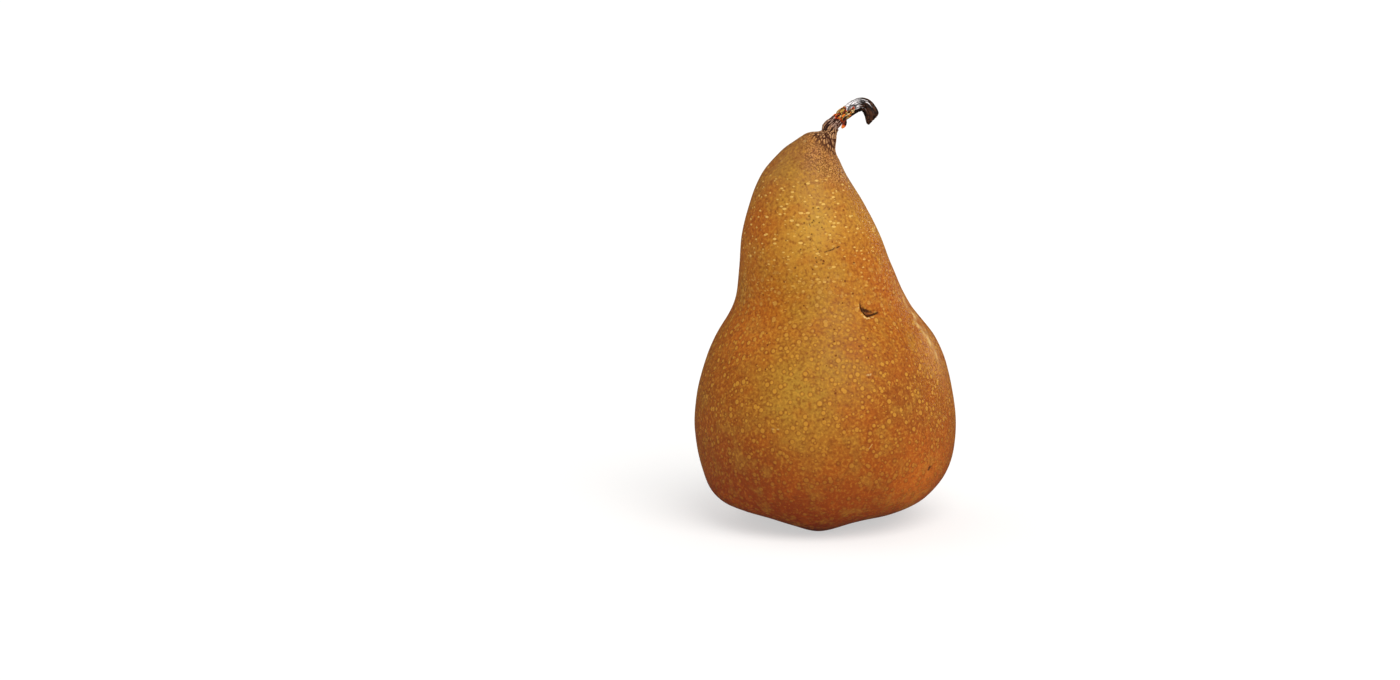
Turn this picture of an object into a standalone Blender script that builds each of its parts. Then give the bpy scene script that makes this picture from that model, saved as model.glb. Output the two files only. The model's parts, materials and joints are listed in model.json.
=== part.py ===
"""A russet pear standing on its base: the fruit, the woody stem in its neck and the dried calyx in its eye.

Metres, +Z up. The origin is on the surface that the pear stands on, under the middle of the fruit.
-Y is the side that carries the main low lobe, and +X is the side that the stem hooks over.
"""

import math
import random

import bmesh
import bpy
from mathutils import Matrix, Vector

# Driving dimensions
FRUIT_HEIGHT = 0.1083  # from the surface to the collar that the stem grows out of
BELLY_RADIUS = 0.0360
GAP = 0.0003  # between the fruit and what is set in it

# Fineness of the solids
FRUIT_SIDES = 64
FRUIT_RINGS = 54  # along the skin, from the eye to the collar
STEM_SIDES = 14
STEM_RINGS = 22
CUP_SIDES = 30
SEPAL_SIDES = 8
SEPAL_RINGS = 7
STAMEN_SIDES = 5
SHARP_ANGLE = math.radians(40)  # edges that turn more than this stay crisp

# The skin's outline, from the eye to the collar. A row holds the radius as a share of the belly's, the height
# as a share of the fruit's, and how far the fruit's middle has leant by there, as a share of the belly's radius.
SKIN_OUTLINE = (
    (0.106, 0.070, 0.000),  # floor of the basin
    (0.200, 0.046, 0.000),  # wall of the basin
    (0.340, 0.003, 0.000),  # ring that the lobes stand out of
    (0.745, 0.047, 0.000),  # heel
    (0.935, 0.132, 0.000),
    (1.000, 0.240, 0.000),  # belly
    (0.960, 0.350, -0.006),
    (0.842, 0.465, -0.016),  # shoulder
    (0.670, 0.561, -0.038),
    (0.583, 0.654, -0.080),  # waist
    (0.526, 0.734, -0.118),
    (0.440, 0.810, -0.148),  # neck
    (0.318, 0.891, -0.170),
    (0.219, 0.943, -0.136),  # crown
    (0.163, 0.973, -0.086),
    (0.117, 0.991, -0.036),  # ledge on the far side of the stem
    (0.068, 1.000, 0.025),  # collar
)
LEAN_HEADING = math.radians(8)  # the way that the positive lean points, turned from +X towards +Y
LOBE_RING_RADIUS = SKIN_OUTLINE[2][0] * BELLY_RADIUS

# Low lobes round the eye: heading in degrees, depth in metres, half width in degrees. The three deep ones touch
# the surface, and what would pass it is flat.
BASE_LOBES = (
    (-98, 0.0028, 27),
    (-32, 0.0006, 24),
    (32, 0.0027, 26),
    (92, 0.0008, 24),
    (152, 0.0028, 27),
)
RING_LIFT = 0.0021  # how far the ring between the lobes stands off the surface
BASE_LOBES_END = 0.019  # the height where the lobes have run out into the belly
SIDES_START = (0.014, 0.030)  # radius and height together, where the side swellings start and are whole

# Broad swellings and hollows of the sides: heading in degrees, height, rise, half width in degrees, half height
SIDE_SWELLINGS = (
    (28, 0.0470, 0.0013, 28, 0.0095),  # shoulder that stands out of the right side, towards the back
    (-98, 0.0260, 0.0005, 34, 0.0220),
    (-30, 0.0400, -0.0008, 22, 0.0180),
    (150, 0.0300, 0.0009, 36, 0.0200),
    (84, 0.0380, -0.0005, 30, 0.0160),
    (-150, 0.0560, -0.0007, 30, 0.0120),
    (210, 0.0070, 0.0030, 26, 0.0075),
    (110, 0.0820, 0.0007, 40, 0.0100),
    (-60, 0.0700, -0.0005, 34, 0.0140),
)

# The eye, under the fruit, and the socket in the collar
EYE_RADIUS = 0.0034
EYE_DEPTH = 0.0036
SOCKET_RADIUS = 0.0018
SOCKET_DEPTH = 0.0046
SOCKET_SLANT = -0.0016  # how far its floor stands from under its mouth, along +X, where the crown is thick

# The stem: how far its middle line stands from the socket's middle, along +X, +Y and up from the collar, and
# its radius there
STEM_LINE = (
    (0.0001, 0.0000, 0.0003, 0.00234),  # foot, just over the collar
    (0.0003, 0.0000, 0.0010, 0.00224),
    (0.0012, 0.0000, 0.0022, 0.00212),
    (0.0027, 0.0001, 0.0037, 0.00206),
    (0.0046, 0.0002, 0.0051, 0.00198),
    (0.0066, 0.0001, 0.0064, 0.00190),
    (0.0085, -0.0002, 0.0071, 0.00188),
    (0.0100, -0.0006, 0.0066, 0.00186),
    (0.0109, -0.0010, 0.0050, 0.00190),
    (0.0115, -0.0013, 0.0029, 0.00210),  # end, where it broke off the twig
)
STEM_END_NORMAL = Vector((0.72, -0.12, -0.68))  # the way that the broken end faces
STEM_END_RINGS = 4  # rings over which the stem turns to face that way

# The calyx: a cup that fills the eye, five sepals on its rim and the dry stamens inside
CUP_LIP = 0.0010  # how far the cup stands out of the eye
CUP_WALL = 0.0007
CUP_HOLLOW = 0.0013
SEPAL_LENGTHS = (0.0040, 0.0033, 0.0044, 0.0029, 0.0038)
SEPAL_CURLS = (-15, 93, 12, 112, -6)  # degrees that each tip turns down and in, towards the middle of the eye
SEPALS_TURN = math.radians(17)  # the first sepal's heading
SEPAL_SLOPE = 38  # degrees below level at the root
SEPAL_WIDTH = 0.0029
SEPAL_TAPER = 2.2  # the power that the width falls off with
SEPAL_THICKNESS = 0.0007
STAMENS = 7
STAMEN_LENGTH = 0.0017
STAMEN_RADIUS = 0.00030
STAMEN_SPREAD = (0.15, 0.75)  # nearest and furthest from the middle, as shares of the hollow's radius
STAMEN_TILTS = (4, 24)  # degrees
STAMEN_HANG = 0.3  # how far the middle of a stamen hangs below its root, as a share of its length


def clear_scene():
    for thing in list(bpy.data.objects):
        bpy.data.objects.remove(thing)


def plain_material(name, colour, roughness):
    """A Principled material of one linear colour."""
    material = bpy.data.materials.new(name)
    material.use_nodes = True
    shader = material.node_tree.nodes["Principled BSDF"]
    shader.inputs["Base Color"].default_value = (*colour, 1)
    shader.inputs["Roughness"].default_value = roughness
    shader.inputs["Metallic"].default_value = 0
    return material


def smooth_line(points, count):
    """count points, evenly spaced, on a smooth curve through points of any dimension."""
    chords = [math.dist(a, b) for a, b in zip(points, points[1:])]
    slopes = []
    for i in range(len(points)):
        before, after = max(i - 1, 0), min(i + 1, len(points) - 1)
        length = sum(chords[before:after])
        slopes.append([(b - a) / length for a, b in zip(points[before], points[after])])

    def at(span, share):
        """The cubic between two neighbouring points, which meets the next one with the same slope."""
        a, b, chord = points[span], points[span + 1], chords[span]
        s2, s3 = share**2, share**3
        weights = (2 * s3 - 3 * s2 + 1, (s3 - 2 * s2 + share) * chord, 3 * s2 - 2 * s3, (s3 - s2) * chord)
        rows = zip(a, slopes[span], b, slopes[span + 1])
        return [sum(w * x for w, x in zip(weights, row)) for row in rows]

    steps = 24
    fine = [at(span, i / steps) for span in range(len(chords)) for i in range(steps)] + [list(points[-1])]
    reach = [0.0]
    for a, b in zip(fine, fine[1:]):
        reach.append(reach[-1] + math.dist(a, b))
    spaced, here = [], 0
    for i in range(count):
        wanted = reach[-1] * i / (count - 1)
        while here < len(fine) - 2 and reach[here + 1] < wanted:
            here += 1
        share = (wanted - reach[here]) / (reach[here + 1] - reach[here])
        spaced.append([a + (b - a) * share for a, b in zip(fine[here], fine[here + 1])])
    return spaced


def fade(value, full, none):
    """1 at full, 0 at none and past it, with a smooth run between."""
    share = min(max((value - none) / (full - none), 0), 1)
    return share * share * (3 - 2 * share)


def bell(turn, half_width):
    """1 at no turn, falling off smoothly. The turn is an angle in degrees, and is taken the short way round."""
    turn = (turn + 180) % 360 - 180
    return math.exp(-((turn / half_width) ** 2))


def skin_outline(count):
    """(radius, height, lean) at count rings of the skin, in metres."""
    rows = [(r * BELLY_RADIUS, h * FRUIT_HEIGHT, lean * BELLY_RADIUS) for r, h, lean in SKIN_OUTLINE]
    return smooth_line(rows, count)


def skin_point(radius, height, lean, angle):
    """Where the skin is, for a ring of the outline and an angle round it."""
    heading = math.degrees(angle)
    swelling = sum(
        rise * bell(heading - at, wide) * math.exp(-(((height - level) / tall) ** 2))
        for at, level, rise, wide, tall in SIDE_SWELLINGS
    )
    low = fade(height, 0, BASE_LOBES_END) * fade(radius, LOBE_RING_RADIUS, EYE_RADIUS)
    drop = sum(depth * bell(heading - at, wide) for at, depth, wide in BASE_LOBES)
    level = max(height + low * (RING_LIFT - drop), 0)
    radius += swelling * fade(radius + height, SIDES_START[1], SIDES_START[0])
    return Vector((
        radius * math.cos(angle) + lean * math.cos(LEAN_HEADING),
        radius * math.sin(angle) + lean * math.sin(LEAN_HEADING),
        level,
    ))


def straight_tube(rings, sides):
    """A bmesh tube of radius 1, closed at both ends, whose rings stand at heights 0, 1, 2 and so on."""
    bm = bmesh.new()
    line = [bm.verts.new((1, 0, ring)) for ring in range(rings)]
    edges = [bm.edges.new(pair) for pair in zip(line, line[1:])]
    turn = {"cent": (0, 0, 0), "axis": (0, 0, 1), "angle": math.tau, "steps": sides, "use_merge": True}
    bmesh.ops.spin(bm, geom=line + edges, **turn)
    bmesh.ops.holes_fill(bm, edges=[e for e in bm.edges if e.is_boundary], sides=0)
    return bm


def placed(bm, place):
    """Moves each point of a straight tube to place(ring, angle), and turns the faces outwards."""
    for vertex in bm.verts:
        ring, angle = round(vertex.co.z), math.atan2(vertex.co.y, vertex.co.x)
        vertex.co = place(ring, angle)
    bmesh.ops.recalc_face_normals(bm, faces=bm.faces)
    if bm.calc_volume(signed=True) < 0:
        bmesh.ops.reverse_faces(bm, faces=bm.faces)


def made_object(name, bm, material):
    """Turns a bmesh into a smooth-shaded object with crisp edges."""
    mesh = bpy.data.meshes.new(name)
    bm.to_mesh(mesh)
    bm.free()
    mesh.shade_smooth()
    mesh.set_sharp_from_angle(angle=SHARP_ANGLE)
    mesh.materials.append(material)
    thing = bpy.data.objects.new(name, mesh)
    bpy.context.scene.collection.objects.link(thing)
    return thing


def collar_middle():
    """The middle of the socket's mouth."""
    _, height, lean = skin_outline(2)[-1]
    return Vector((lean * math.cos(LEAN_HEADING), lean * math.sin(LEAN_HEADING), height))


def make_fruit():
    """The fruit in one piece, from the floor of its eye, over the skin, to the floor of the stem's socket."""
    skin = skin_outline(FRUIT_RINGS)
    eye_floor = skin[0][1] + EYE_DEPTH
    mouth = collar_middle()
    rings = FRUIT_RINGS + 4

    def place(ring, angle):
        across = Vector((math.cos(angle), math.sin(angle), 0))
        if ring == 0:
            return EYE_RADIUS * across + Vector((0, 0, eye_floor))
        if ring == 1:
            return EYE_RADIUS * across + Vector((0, 0, skin[0][1]))
        if ring == rings - 2:
            return mouth + SOCKET_RADIUS * across
        if ring == rings - 1:
            return mouth + SOCKET_RADIUS * across + Vector((SOCKET_SLANT, 0, -SOCKET_DEPTH))
        return skin_point(*skin[ring - 2], angle)

    bm = straight_tube(rings, FRUIT_SIDES)
    placed(bm, place)
    made_object("fruit", bm, plain_material("russet_skin", (0.42, 0.17, 0.035), 0.5))


def swept_point(line, ring, angle, side, flatness=1.0, end_normal=None, end_rings=1):
    """A point of a rod round a line of (x, y, z, radius). Flatness is its thickness over its width, which
    lies along side. With end_normal, the last rings turn, over end_rings of them, to face that way."""
    x, y, z, radius = line[ring]
    before, after = line[max(ring - 1, 0)], line[min(ring + 1, len(line) - 1)]
    along = (Vector(after[:3]) - Vector(before[:3])).normalized()
    if end_normal:
        turned = max(1 - (len(line) - 1 - ring) / end_rings, 0)
        along = along.lerp(end_normal.normalized(), turned).normalized()
    across = (side - side.dot(along) * along).normalized()
    up = along.cross(across)
    return Vector((x, y, z)) + radius * (math.cos(angle) * across + flatness * math.sin(angle) * up)


def make_stem():
    """The woody stem: the root in the socket, the foot over the collar, and the hook with its broken end."""
    mouth = collar_middle()
    line = smooth_line([(mouth.x + x, mouth.y + y, mouth.z + z, r) for x, y, z, r in STEM_LINE], STEM_RINGS)
    root_radius = SOCKET_RADIUS - GAP
    root = [
        (mouth.x + SOCKET_SLANT, mouth.y, mouth.z - SOCKET_DEPTH + GAP, root_radius),
        (mouth.x, mouth.y, mouth.z + GAP, root_radius),
    ]
    rings = len(root) + len(line)

    def place(ring, angle):
        if ring <= len(root):
            x, y, z, radius = (root + line)[ring]
            return Vector((x - radius * math.sin(angle), y + radius * math.cos(angle), z))
        turn = {"end_normal": STEM_END_NORMAL, "end_rings": STEM_END_RINGS}
        return swept_point(line, ring - len(root), angle, Vector((0, 1, 0)), **turn)

    bm = straight_tube(rings, STEM_SIDES)
    placed(bm, place)
    made_object("stem", bm, plain_material("stem_bark", (0.075, 0.038, 0.020), 0.65))


def cup_bmesh(floor, rim):
    """The calyx's cup: solid up in the eye, with a shallow hollow that opens downwards."""
    outer = EYE_RADIUS - GAP
    inner = outer - CUP_WALL
    outline = ((outer, floor), (outer, rim), (inner, rim), (inner - CUP_WALL, rim + CUP_HOLLOW))
    bm = straight_tube(len(outline), CUP_SIDES)

    def place(ring, angle):
        radius, height = outline[ring]
        return Vector((radius * math.cos(angle), radius * math.sin(angle), height))

    placed(bm, place)
    return bm


def sepal_bmesh(heading, length, curl, rim):
    """One sepal: a thin leaf rooted in the cup's wall, which lies out in the basin and curls at its tip."""
    out = Vector((math.cos(heading), math.sin(heading), 0))
    down = Vector((0, 0, -1))
    side = out.cross(down)
    at = (EYE_RADIUS - GAP - CUP_WALL) * out + Vector((0, 0, rim + SEPAL_THICKNESS))
    line = []
    for step in range(SEPAL_RINGS):
        share = step / (SEPAL_RINGS - 1)
        taper = share**SEPAL_TAPER
        line.append((*at, SEPAL_WIDTH / 2 * (1 - taper) + SEPAL_THICKNESS / 2 * taper))
        slope = math.radians(SEPAL_SLOPE + curl * share)
        at = at + length / (SEPAL_RINGS - 1) * (math.cos(slope) * out + math.sin(slope) * down)
    bm = straight_tube(SEPAL_RINGS, SEPAL_SIDES)
    placed(bm, lambda ring, angle: swept_point(line, ring, angle, side, SEPAL_THICKNESS / 2 / line[ring][3]))
    return bm


def stamen_bmesh(draw, floor):
    """One dry stamen: a short tapered bristle rooted in the hollow of the cup."""
    heading = draw.uniform(0, math.tau)
    away = draw.uniform(*STAMEN_SPREAD) * (EYE_RADIUS - GAP - 2 * CUP_WALL)
    tilt = math.radians(draw.uniform(*STAMEN_TILTS))
    bm = bmesh.new()
    size = {"radius1": STAMEN_RADIUS / 2, "radius2": STAMEN_RADIUS, "depth": STAMEN_LENGTH}
    bmesh.ops.create_cone(bm, cap_ends=True, segments=STAMEN_SIDES, **size)
    spot = Matrix.Translation((away * math.cos(heading), away * math.sin(heading), floor))
    lean = Matrix.Rotation(heading, 4, "Z") @ Matrix.Rotation(-tilt, 4, "Y")
    hang = Matrix.Translation((0, 0, -STAMEN_LENGTH * STAMEN_HANG))
    bm.transform(spot @ lean @ hang)
    return bm


def make_calyx():
    """The dried calyx in the eye: cup, sepals and stamens, joined into one solid."""
    dry = plain_material("dry_calyx", (0.10, 0.055, 0.028), 0.8)
    mouth = skin_outline(2)[0][1]
    floor, rim = mouth + EYE_DEPTH - GAP, mouth - CUP_LIP
    cup = made_object("calyx", cup_bmesh(floor, rim), dry)
    parts = bpy.data.collections.new("calyx_parts")
    bpy.context.scene.collection.children.link(parts)
    meshes = []
    for i, (length, curl) in enumerate(zip(SEPAL_LENGTHS, SEPAL_CURLS)):
        heading = math.tau * i / len(SEPAL_LENGTHS) + SEPALS_TURN
        meshes.append(sepal_bmesh(heading, length, curl, rim))
    draw = random.Random(5)
    meshes += [stamen_bmesh(draw, rim + CUP_HOLLOW) for _ in range(STAMENS)]
    for i, bm in enumerate(meshes):
        piece = made_object(f"calyx_part_{i}", bm, dry)
        bpy.context.scene.collection.objects.unlink(piece)
        parts.objects.link(piece)
    join = cup.modifiers.new("join", "BOOLEAN")
    join.operation = "UNION"
    join.operand_type = "COLLECTION"
    join.collection = parts
    bpy.context.view_layer.objects.active = cup
    bpy.ops.object.modifier_apply(modifier=join.name)
    for piece in list(parts.objects):
        bpy.data.objects.remove(piece)
    bpy.data.collections.remove(parts)


def main():
    clear_scene()
    make_fruit()
    make_stem()
    make_calyx()


main()
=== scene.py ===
"""Dresses the solids of a russet pear: speckled skin, barked stem and dried calyx, on a pale floor.

Metres, +Z up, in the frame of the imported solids. -Y faces the camera, and +X is the side that the stem
hooks over.
"""

import json
import math
import random

import bmesh
import bpy
from bpy.props import FloatProperty, FloatVectorProperty, IntProperty, PointerProperty
from mathutils import Matrix, Vector, noise

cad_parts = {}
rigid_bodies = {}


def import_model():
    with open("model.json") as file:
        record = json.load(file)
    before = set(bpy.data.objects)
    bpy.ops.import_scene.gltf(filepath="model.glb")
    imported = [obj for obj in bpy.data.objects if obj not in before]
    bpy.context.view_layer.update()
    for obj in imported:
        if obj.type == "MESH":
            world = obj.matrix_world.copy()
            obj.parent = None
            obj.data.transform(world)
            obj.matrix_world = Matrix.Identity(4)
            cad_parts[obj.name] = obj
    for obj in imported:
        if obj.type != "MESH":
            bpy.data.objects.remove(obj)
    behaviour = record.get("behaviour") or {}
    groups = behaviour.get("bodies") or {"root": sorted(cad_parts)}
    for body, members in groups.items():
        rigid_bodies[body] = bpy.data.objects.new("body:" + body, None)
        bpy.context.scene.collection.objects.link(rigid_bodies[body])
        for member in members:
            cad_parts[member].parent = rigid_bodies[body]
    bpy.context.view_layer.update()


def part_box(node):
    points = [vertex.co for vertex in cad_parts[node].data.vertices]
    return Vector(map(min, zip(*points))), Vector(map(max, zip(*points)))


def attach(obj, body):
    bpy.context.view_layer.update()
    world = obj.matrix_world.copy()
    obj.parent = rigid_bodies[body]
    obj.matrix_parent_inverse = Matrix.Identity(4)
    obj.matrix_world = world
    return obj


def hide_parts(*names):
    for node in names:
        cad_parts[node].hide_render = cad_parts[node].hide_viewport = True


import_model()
FRUIT_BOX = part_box("fruit")

bl_info = {
    "name": "Russet Pear",
    "version": (1, 0, 0),
    "blender": (4, 5, 0),
    "location": "3D View > Sidebar > Pear",
    "description": "Dresses the solids of a russet pear: speckled skin, barked stem and dried calyx",
    "category": "Mesh",
}

# The skin's outline, from the eye to the collar: radius as a share of the belly's, height as a share of the
# fruit's, and how far the middle has leant by there, as a share of the belly's radius
SKIN_OUTLINE = (
    (0.106, 0.070, 0.000),  # floor of the basin
    (0.200, 0.046, 0.000),  # wall of the basin
    (0.340, 0.003, 0.000),  # ring that the lobes stand out of
    (0.745, 0.047, 0.000),  # heel
    (0.935, 0.132, 0.000),
    (1.000, 0.240, 0.000),  # belly
    (0.960, 0.350, -0.006),
    (0.842, 0.465, -0.016),  # shoulder
    (0.670, 0.561, -0.038),
    (0.583, 0.654, -0.080),  # waist
    (0.526, 0.734, -0.118),
    (0.440, 0.810, -0.148),  # neck
    (0.318, 0.891, -0.170),
    (0.219, 0.943, -0.136),  # crown
    (0.163, 0.973, -0.086),
    (0.117, 0.991, -0.036),  # ledge on the far side of the stem
    (0.068, 1.000, 0.025),  # collar
)
LEAN_HEADING = math.radians(8)
LOBE_RING_SHARE = SKIN_OUTLINE[2][0]

# Low lobes round the eye: heading in degrees, depth in metres, half width in degrees
BASE_LOBES = (
    (-98, 0.0028, 27),
    (-32, 0.0006, 24),
    (32, 0.0027, 26),
    (92, 0.0008, 24),
    (152, 0.0028, 27),
)
RING_LIFT = 0.0021
BASE_LOBES_END = 0.019

# What the skin near the collar rises, beside the outline: place, rise along the skin's normal, reach
COLLAR_SHAPES = (
    ((-0.0016, 0.0030, 0.1078), -0.00050, 0.0022),
    ((-0.0022, 0.0000, 0.1078), -0.00035, 0.0018),
    ((-0.0080, 0.0010, 0.1055), -0.00025, 0.0030),
    ((0.0037, -0.0004, 0.1028), -0.00055, 0.0021),
    ((-0.0050, -0.0040, 0.1062), 0.00020, 0.0016),
)
COLLAR_SHAPES_START = 0.095
SIDES_START = (0.014, 0.030)  # radius and height together, between which the swellings of the sides set in
RINGS_CROWDING = 0.45  # how much closer together the rings stand at the collar

# Broad swellings and hollows of the sides: heading in degrees, height, rise, half width in degrees and half
# height
SIDE_SWELLINGS = (
    (28, 0.0470, 0.0013, 28, 0.0095),
    (-98, 0.0260, 0.0005, 34, 0.0220),
    (-30, 0.0400, -0.0008, 22, 0.0180),
    (150, 0.0300, 0.0009, 36, 0.0200),
    (84, 0.0380, -0.0005, 30, 0.0160),
    (-150, 0.0560, -0.0007, 30, 0.0120),
    (210, 0.0070, 0.0030, 26, 0.0075),
    (110, 0.0820, 0.0007, 40, 0.0100),
    (-60, 0.0700, -0.0005, 34, 0.0140),
)

# The net of creases round the stem and its foot: radius of its ring in cells, a cell's length, how far below
# the foot the ring is 1.4 times as wide, and the width of its lines
NET_ROUND = 5.0
NET_LENGTH = 0.0031
NET_SPREAD = 0.0021
NET_LINES = 0.16
COLLAR_REACH = 0.020  # from the collar's middle, past which the skin has no creases
PUCKER_HEIGHT = 0.0045  # from which up the skin round the eye puckers in full
SKIN_TAGS = ("crease", "dry", "mark")

EYE_RADIUS = 0.0034
EYE_DEPTH = 0.0036
SOCKET_RADIUS = 0.0018
SOCKET_DEPTH = 0.0046
SOCKET_SLANT = -0.0016
SOCKET_LIP = ((0.00236, 0.00008), (0.00214, -0.00010), (SOCKET_RADIUS, -0.00040))  # radius, rise from collar
SOCKET_REACH = 0.0022
GAP = 0.0003

# The stem: how far its middle line stands from the socket's middle, along +X, +Y and up from the collar, and
# its radius there
STEM_LINE = (
    (0.0001, 0.0000, 0.0003, 0.00230),
    (0.0005, 0.0000, 0.0010, 0.00208),
    (0.0016, 0.0000, 0.0021, 0.00180),
    (0.0030, 0.0001, 0.0035, 0.00175),
    (0.0048, 0.0002, 0.0049, 0.00178),
    (0.0067, 0.0001, 0.0062, 0.00182),
    (0.0085, -0.0002, 0.0070, 0.00184),
    (0.0101, -0.0006, 0.0066, 0.00190),
    (0.0112, -0.0010, 0.0050, 0.00202),
    (0.0119, -0.0013, 0.0028, 0.00232),
)
STEM_END_NORMAL = Vector((0.72, -0.12, -0.68))
STEM_END_TURN = 0.19  # the last share of the stem, over which it turns to face that way
STEM_END_ROUND = 0.945  # where its rim starts to round off
STEM_LENGTH = 0.0168
BARK_TAGS = ("crease", "flake", "hue", "silver", "along", "end")
FLAKE_ROOT = Vector((0.0050, -0.0012, 0.1116))
FLAKE_TIP = Vector((0.0043, -0.0016, 0.1089))
FLAKE_BEND = Vector((0.0004, -0.0004, 0))
FLAKE_RADIUS = 0.0008
# The flaking bark's tones, from the lowest hue up. The hues of the hanging flake, and how far along each ends
FLAKE_TONES = ((0.0, "dark"), (0.12, "rust"), (0.32, "amber"), (0.52, "gold"), (0.80, "cream"))
FLAKE_HUES = ((0.62, 0.04), (0.70, 0.2), (1.0, 0.45))
BARK_HOLLOWS = (((0.0035, -0.0017, 0.1130), 0.00042), ((0.0053, -0.0012, 0.1118), 0.00055))  # place, reach
# The broken end: share of the rim's radius, and how far out
STEM_CAP = ((0.95, 0.00005), (0.78, -0.00008), (0.50, -0.00022), (0.22, -0.00030))

CUP_LIP = 0.0010
CUP_WALL = 0.0007
CUP_HOLLOW = 0.0013
SEPAL_LENGTHS = (0.0040, 0.0033, 0.0044, 0.0029, 0.0038)
SEPAL_CURLS = (-15, 93, 12, 112, -6)
SEPALS_TURN = math.radians(17)
SEPAL_SLOPE = 38
SEPAL_WIDTH = 0.0029
SEPAL_TAPER = 2.2

# Marks on the skin's front, as lines of (x, z) that they follow when seen from straight ahead
NICK_MIDDLE = Vector((0.0117, 0.0619))
NICK_REACH = 0.006
NICK_EDGE = (
    (0.00905, 0.06360), (0.00925, 0.06270), (0.00955, 0.06190), (0.01020, 0.06105),
    (0.01100, 0.06040), (0.01215, 0.06048), (0.01380, 0.06085),
)
NICK_FOLD = ((0.00935, 0.06265), (0.01060, 0.06205), (0.01225, 0.06160))
SCRATCH = ((-0.00030, 0.07775), (0.00150, 0.07825), (0.00365, 0.07900))
SPOT = ((0.02785, 0.01840), (0.02810, 0.01905))
# A low ridge down the right of the shoulder, whose paler tint is a painted highlight streak
RIDGE = (
    (0.0188, 0.0680), (0.0199, 0.0650), (0.0220, 0.0609), (0.0243, 0.0572), (0.0261, 0.0543),
    (0.0281, 0.0510), (0.0297, 0.0475), (0.0312, 0.0443), (0.0322, 0.0410),
)
# Pits down the neck
PITS = (
    (-0.00346, 0.08920), (-0.00212, 0.08904), (0.00091, 0.08874), (-0.00453, 0.08705), (-0.00332, 0.08601),
    (-0.00370, 0.08548), (-0.00182, 0.08544), (-0.00437, 0.08497), (-0.00587, 0.08539), (-0.00107, 0.08418),
    (-0.00383, 0.08247), (-0.00423, 0.08103), (-0.00220, 0.07849), (-0.00273, 0.07629), (-0.00131, 0.07574),
    (-0.00249, 0.07518), (-0.00078, 0.07473), (-0.00822, 0.07359), (0.00056, 0.07098), (-0.00680, 0.07849),
)
# Pale flecks: both ends and half width
FLECKS = (
    ((-0.01437, 0.03218), (-0.01397, 0.03218), 0.00024),
    ((-0.01303, 0.03222), (-0.01263, 0.03226), 0.00022),
    ((0.01232, 0.02828), (0.01141, 0.02706), 0.00014),
    ((0.01090, 0.04620), (0.01190, 0.04630), 0.00036),
)
# A fold in the skin beside the stem, left of the collar, as points in space
FOLD = ((-0.0068, -0.0013, 0.1066), (-0.0062, -0.0036, 0.1063), (-0.0052, -0.0058, 0.1052))

# Each mark's rise, or its depth where it is below 0, half the width of that, and half the width of its tint
SCRATCH_SIZES = (-0.00012, 0.00024, 0.00024)
SPOT_SIZES = (-0.00015, 0.00050, 0.00048)
RIDGE_SIZES = (0.00011, 0.00080, 0.00075)
PIT_SIZES = (-0.00014, 0.00030, 0.00027)
FOLD_SIZES = (-0.00030, 0.00036, 0.00030)
PIT_REACH = 0.0010
PIT_HEIGHTS = (0.070, 0.090)

# The skin's tones: share of the fruit's height, and the setting that holds the colour
SKIN_TONES = (
    (0.03, "base"), (0.13, "heel"), (0.32, "belly"), (0.56, "shoulder"), (0.76, "neck"), (0.93, "crown"),
)

# Soft patches of colour on the skin: the setting that holds it, strength, middle and reach. The last four are
# on the sides that the photograph doesn't show
SKIN_PATCHES = (
    # Painted highlight: the gold patch on the neck is partly yellower skin and partly the key light's broad
    # sheen painted in
    ("gold", 0.72, (-0.0056, -0.0176, 0.0845), 0.0190),
    ("olive", 0.75, (-0.0069, -0.0324, 0.0440), 0.0230),
    ("olive", 0.55, (-0.0010, -0.0240, 0.0640), 0.0180),
    ("olive", 0.20, (-0.0037, -0.0362, 0.0290), 0.0160),
    ("orange", 0.60, (0.0160, -0.0126, 0.0680), 0.0170),
    ("warm", 0.45, (-0.0215, -0.0175, 0.0570), 0.0170),
    ("orange", 0.75, (-0.0195, -0.0100, 0.0830), 0.0170),
    ("brown", 0.45, (0.0220, -0.0250, 0.0400), 0.0170),
    # Painted highlight: this pale patch on the right shoulder paints the streak of light along its rim
    ("collar_pale", 0.40, (0.0295, -0.0100, 0.0460), 0.0115),
    ("warm", 0.60, (0.0260, -0.0210, 0.0160), 0.0180),
    # Painted shadow: a darker patch low on the left, where shade falls
    ("base", 0.50, (-0.0220, -0.0260, 0.0140), 0.0230),
    ("olive", 0.60, (0.0100, 0.0200, 0.0780), 0.0240),
    ("olive", 0.60, (-0.0150, 0.0300, 0.0400), 0.0240),
    ("olive", 0.45, (0.0340, 0.0060, 0.0300), 0.0180),
    ("orange", 0.50, (0.0250, 0.0180, 0.0540), 0.0200),
)
PATCH_FRAY = 0.010
SMALL_DOT_SPACING = 0.0012
SMALL_DOT_RADIUS = 0.00038
PORE_SPACING = 0.0026
PORE_RADIUS = 0.00042

WARM_WHITE = (1.0, 0.98, 0.95)
FLOOR_REACH = 12.0
FLOOR_CLEARANCE = 0.00002
CAMERA_TARGET = Vector((0, 0, 0.0583))
TARGET_OFFSET = (126, 29)  # pixels that the target falls right of and above the frame's middle
FRAME_WIDTH = 1400  # pixels
SENSOR = 36.0


def paint(red, green, blue):
    """A chart colour, 0 to 255, as the linear colour that a shader takes."""
    return tuple(((c / 255 + 0.055) / 1.055) ** 2.4 for c in (red, green, blue))


def colour(name, description, *chart):
    return FloatVectorProperty(
        name=name, description=description, subtype="COLOR", size=3, min=0, max=1, default=paint(*chart)
    )


def length(name, description, metres):
    return FloatProperty(
        name=name, description=description, subtype="DISTANCE", unit="LENGTH", precision=5, min=0,
        default=metres,
    )


def count(name, description, least, most, default):
    return IntProperty(name=name, description=description, min=least, max=most, default=default)


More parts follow.
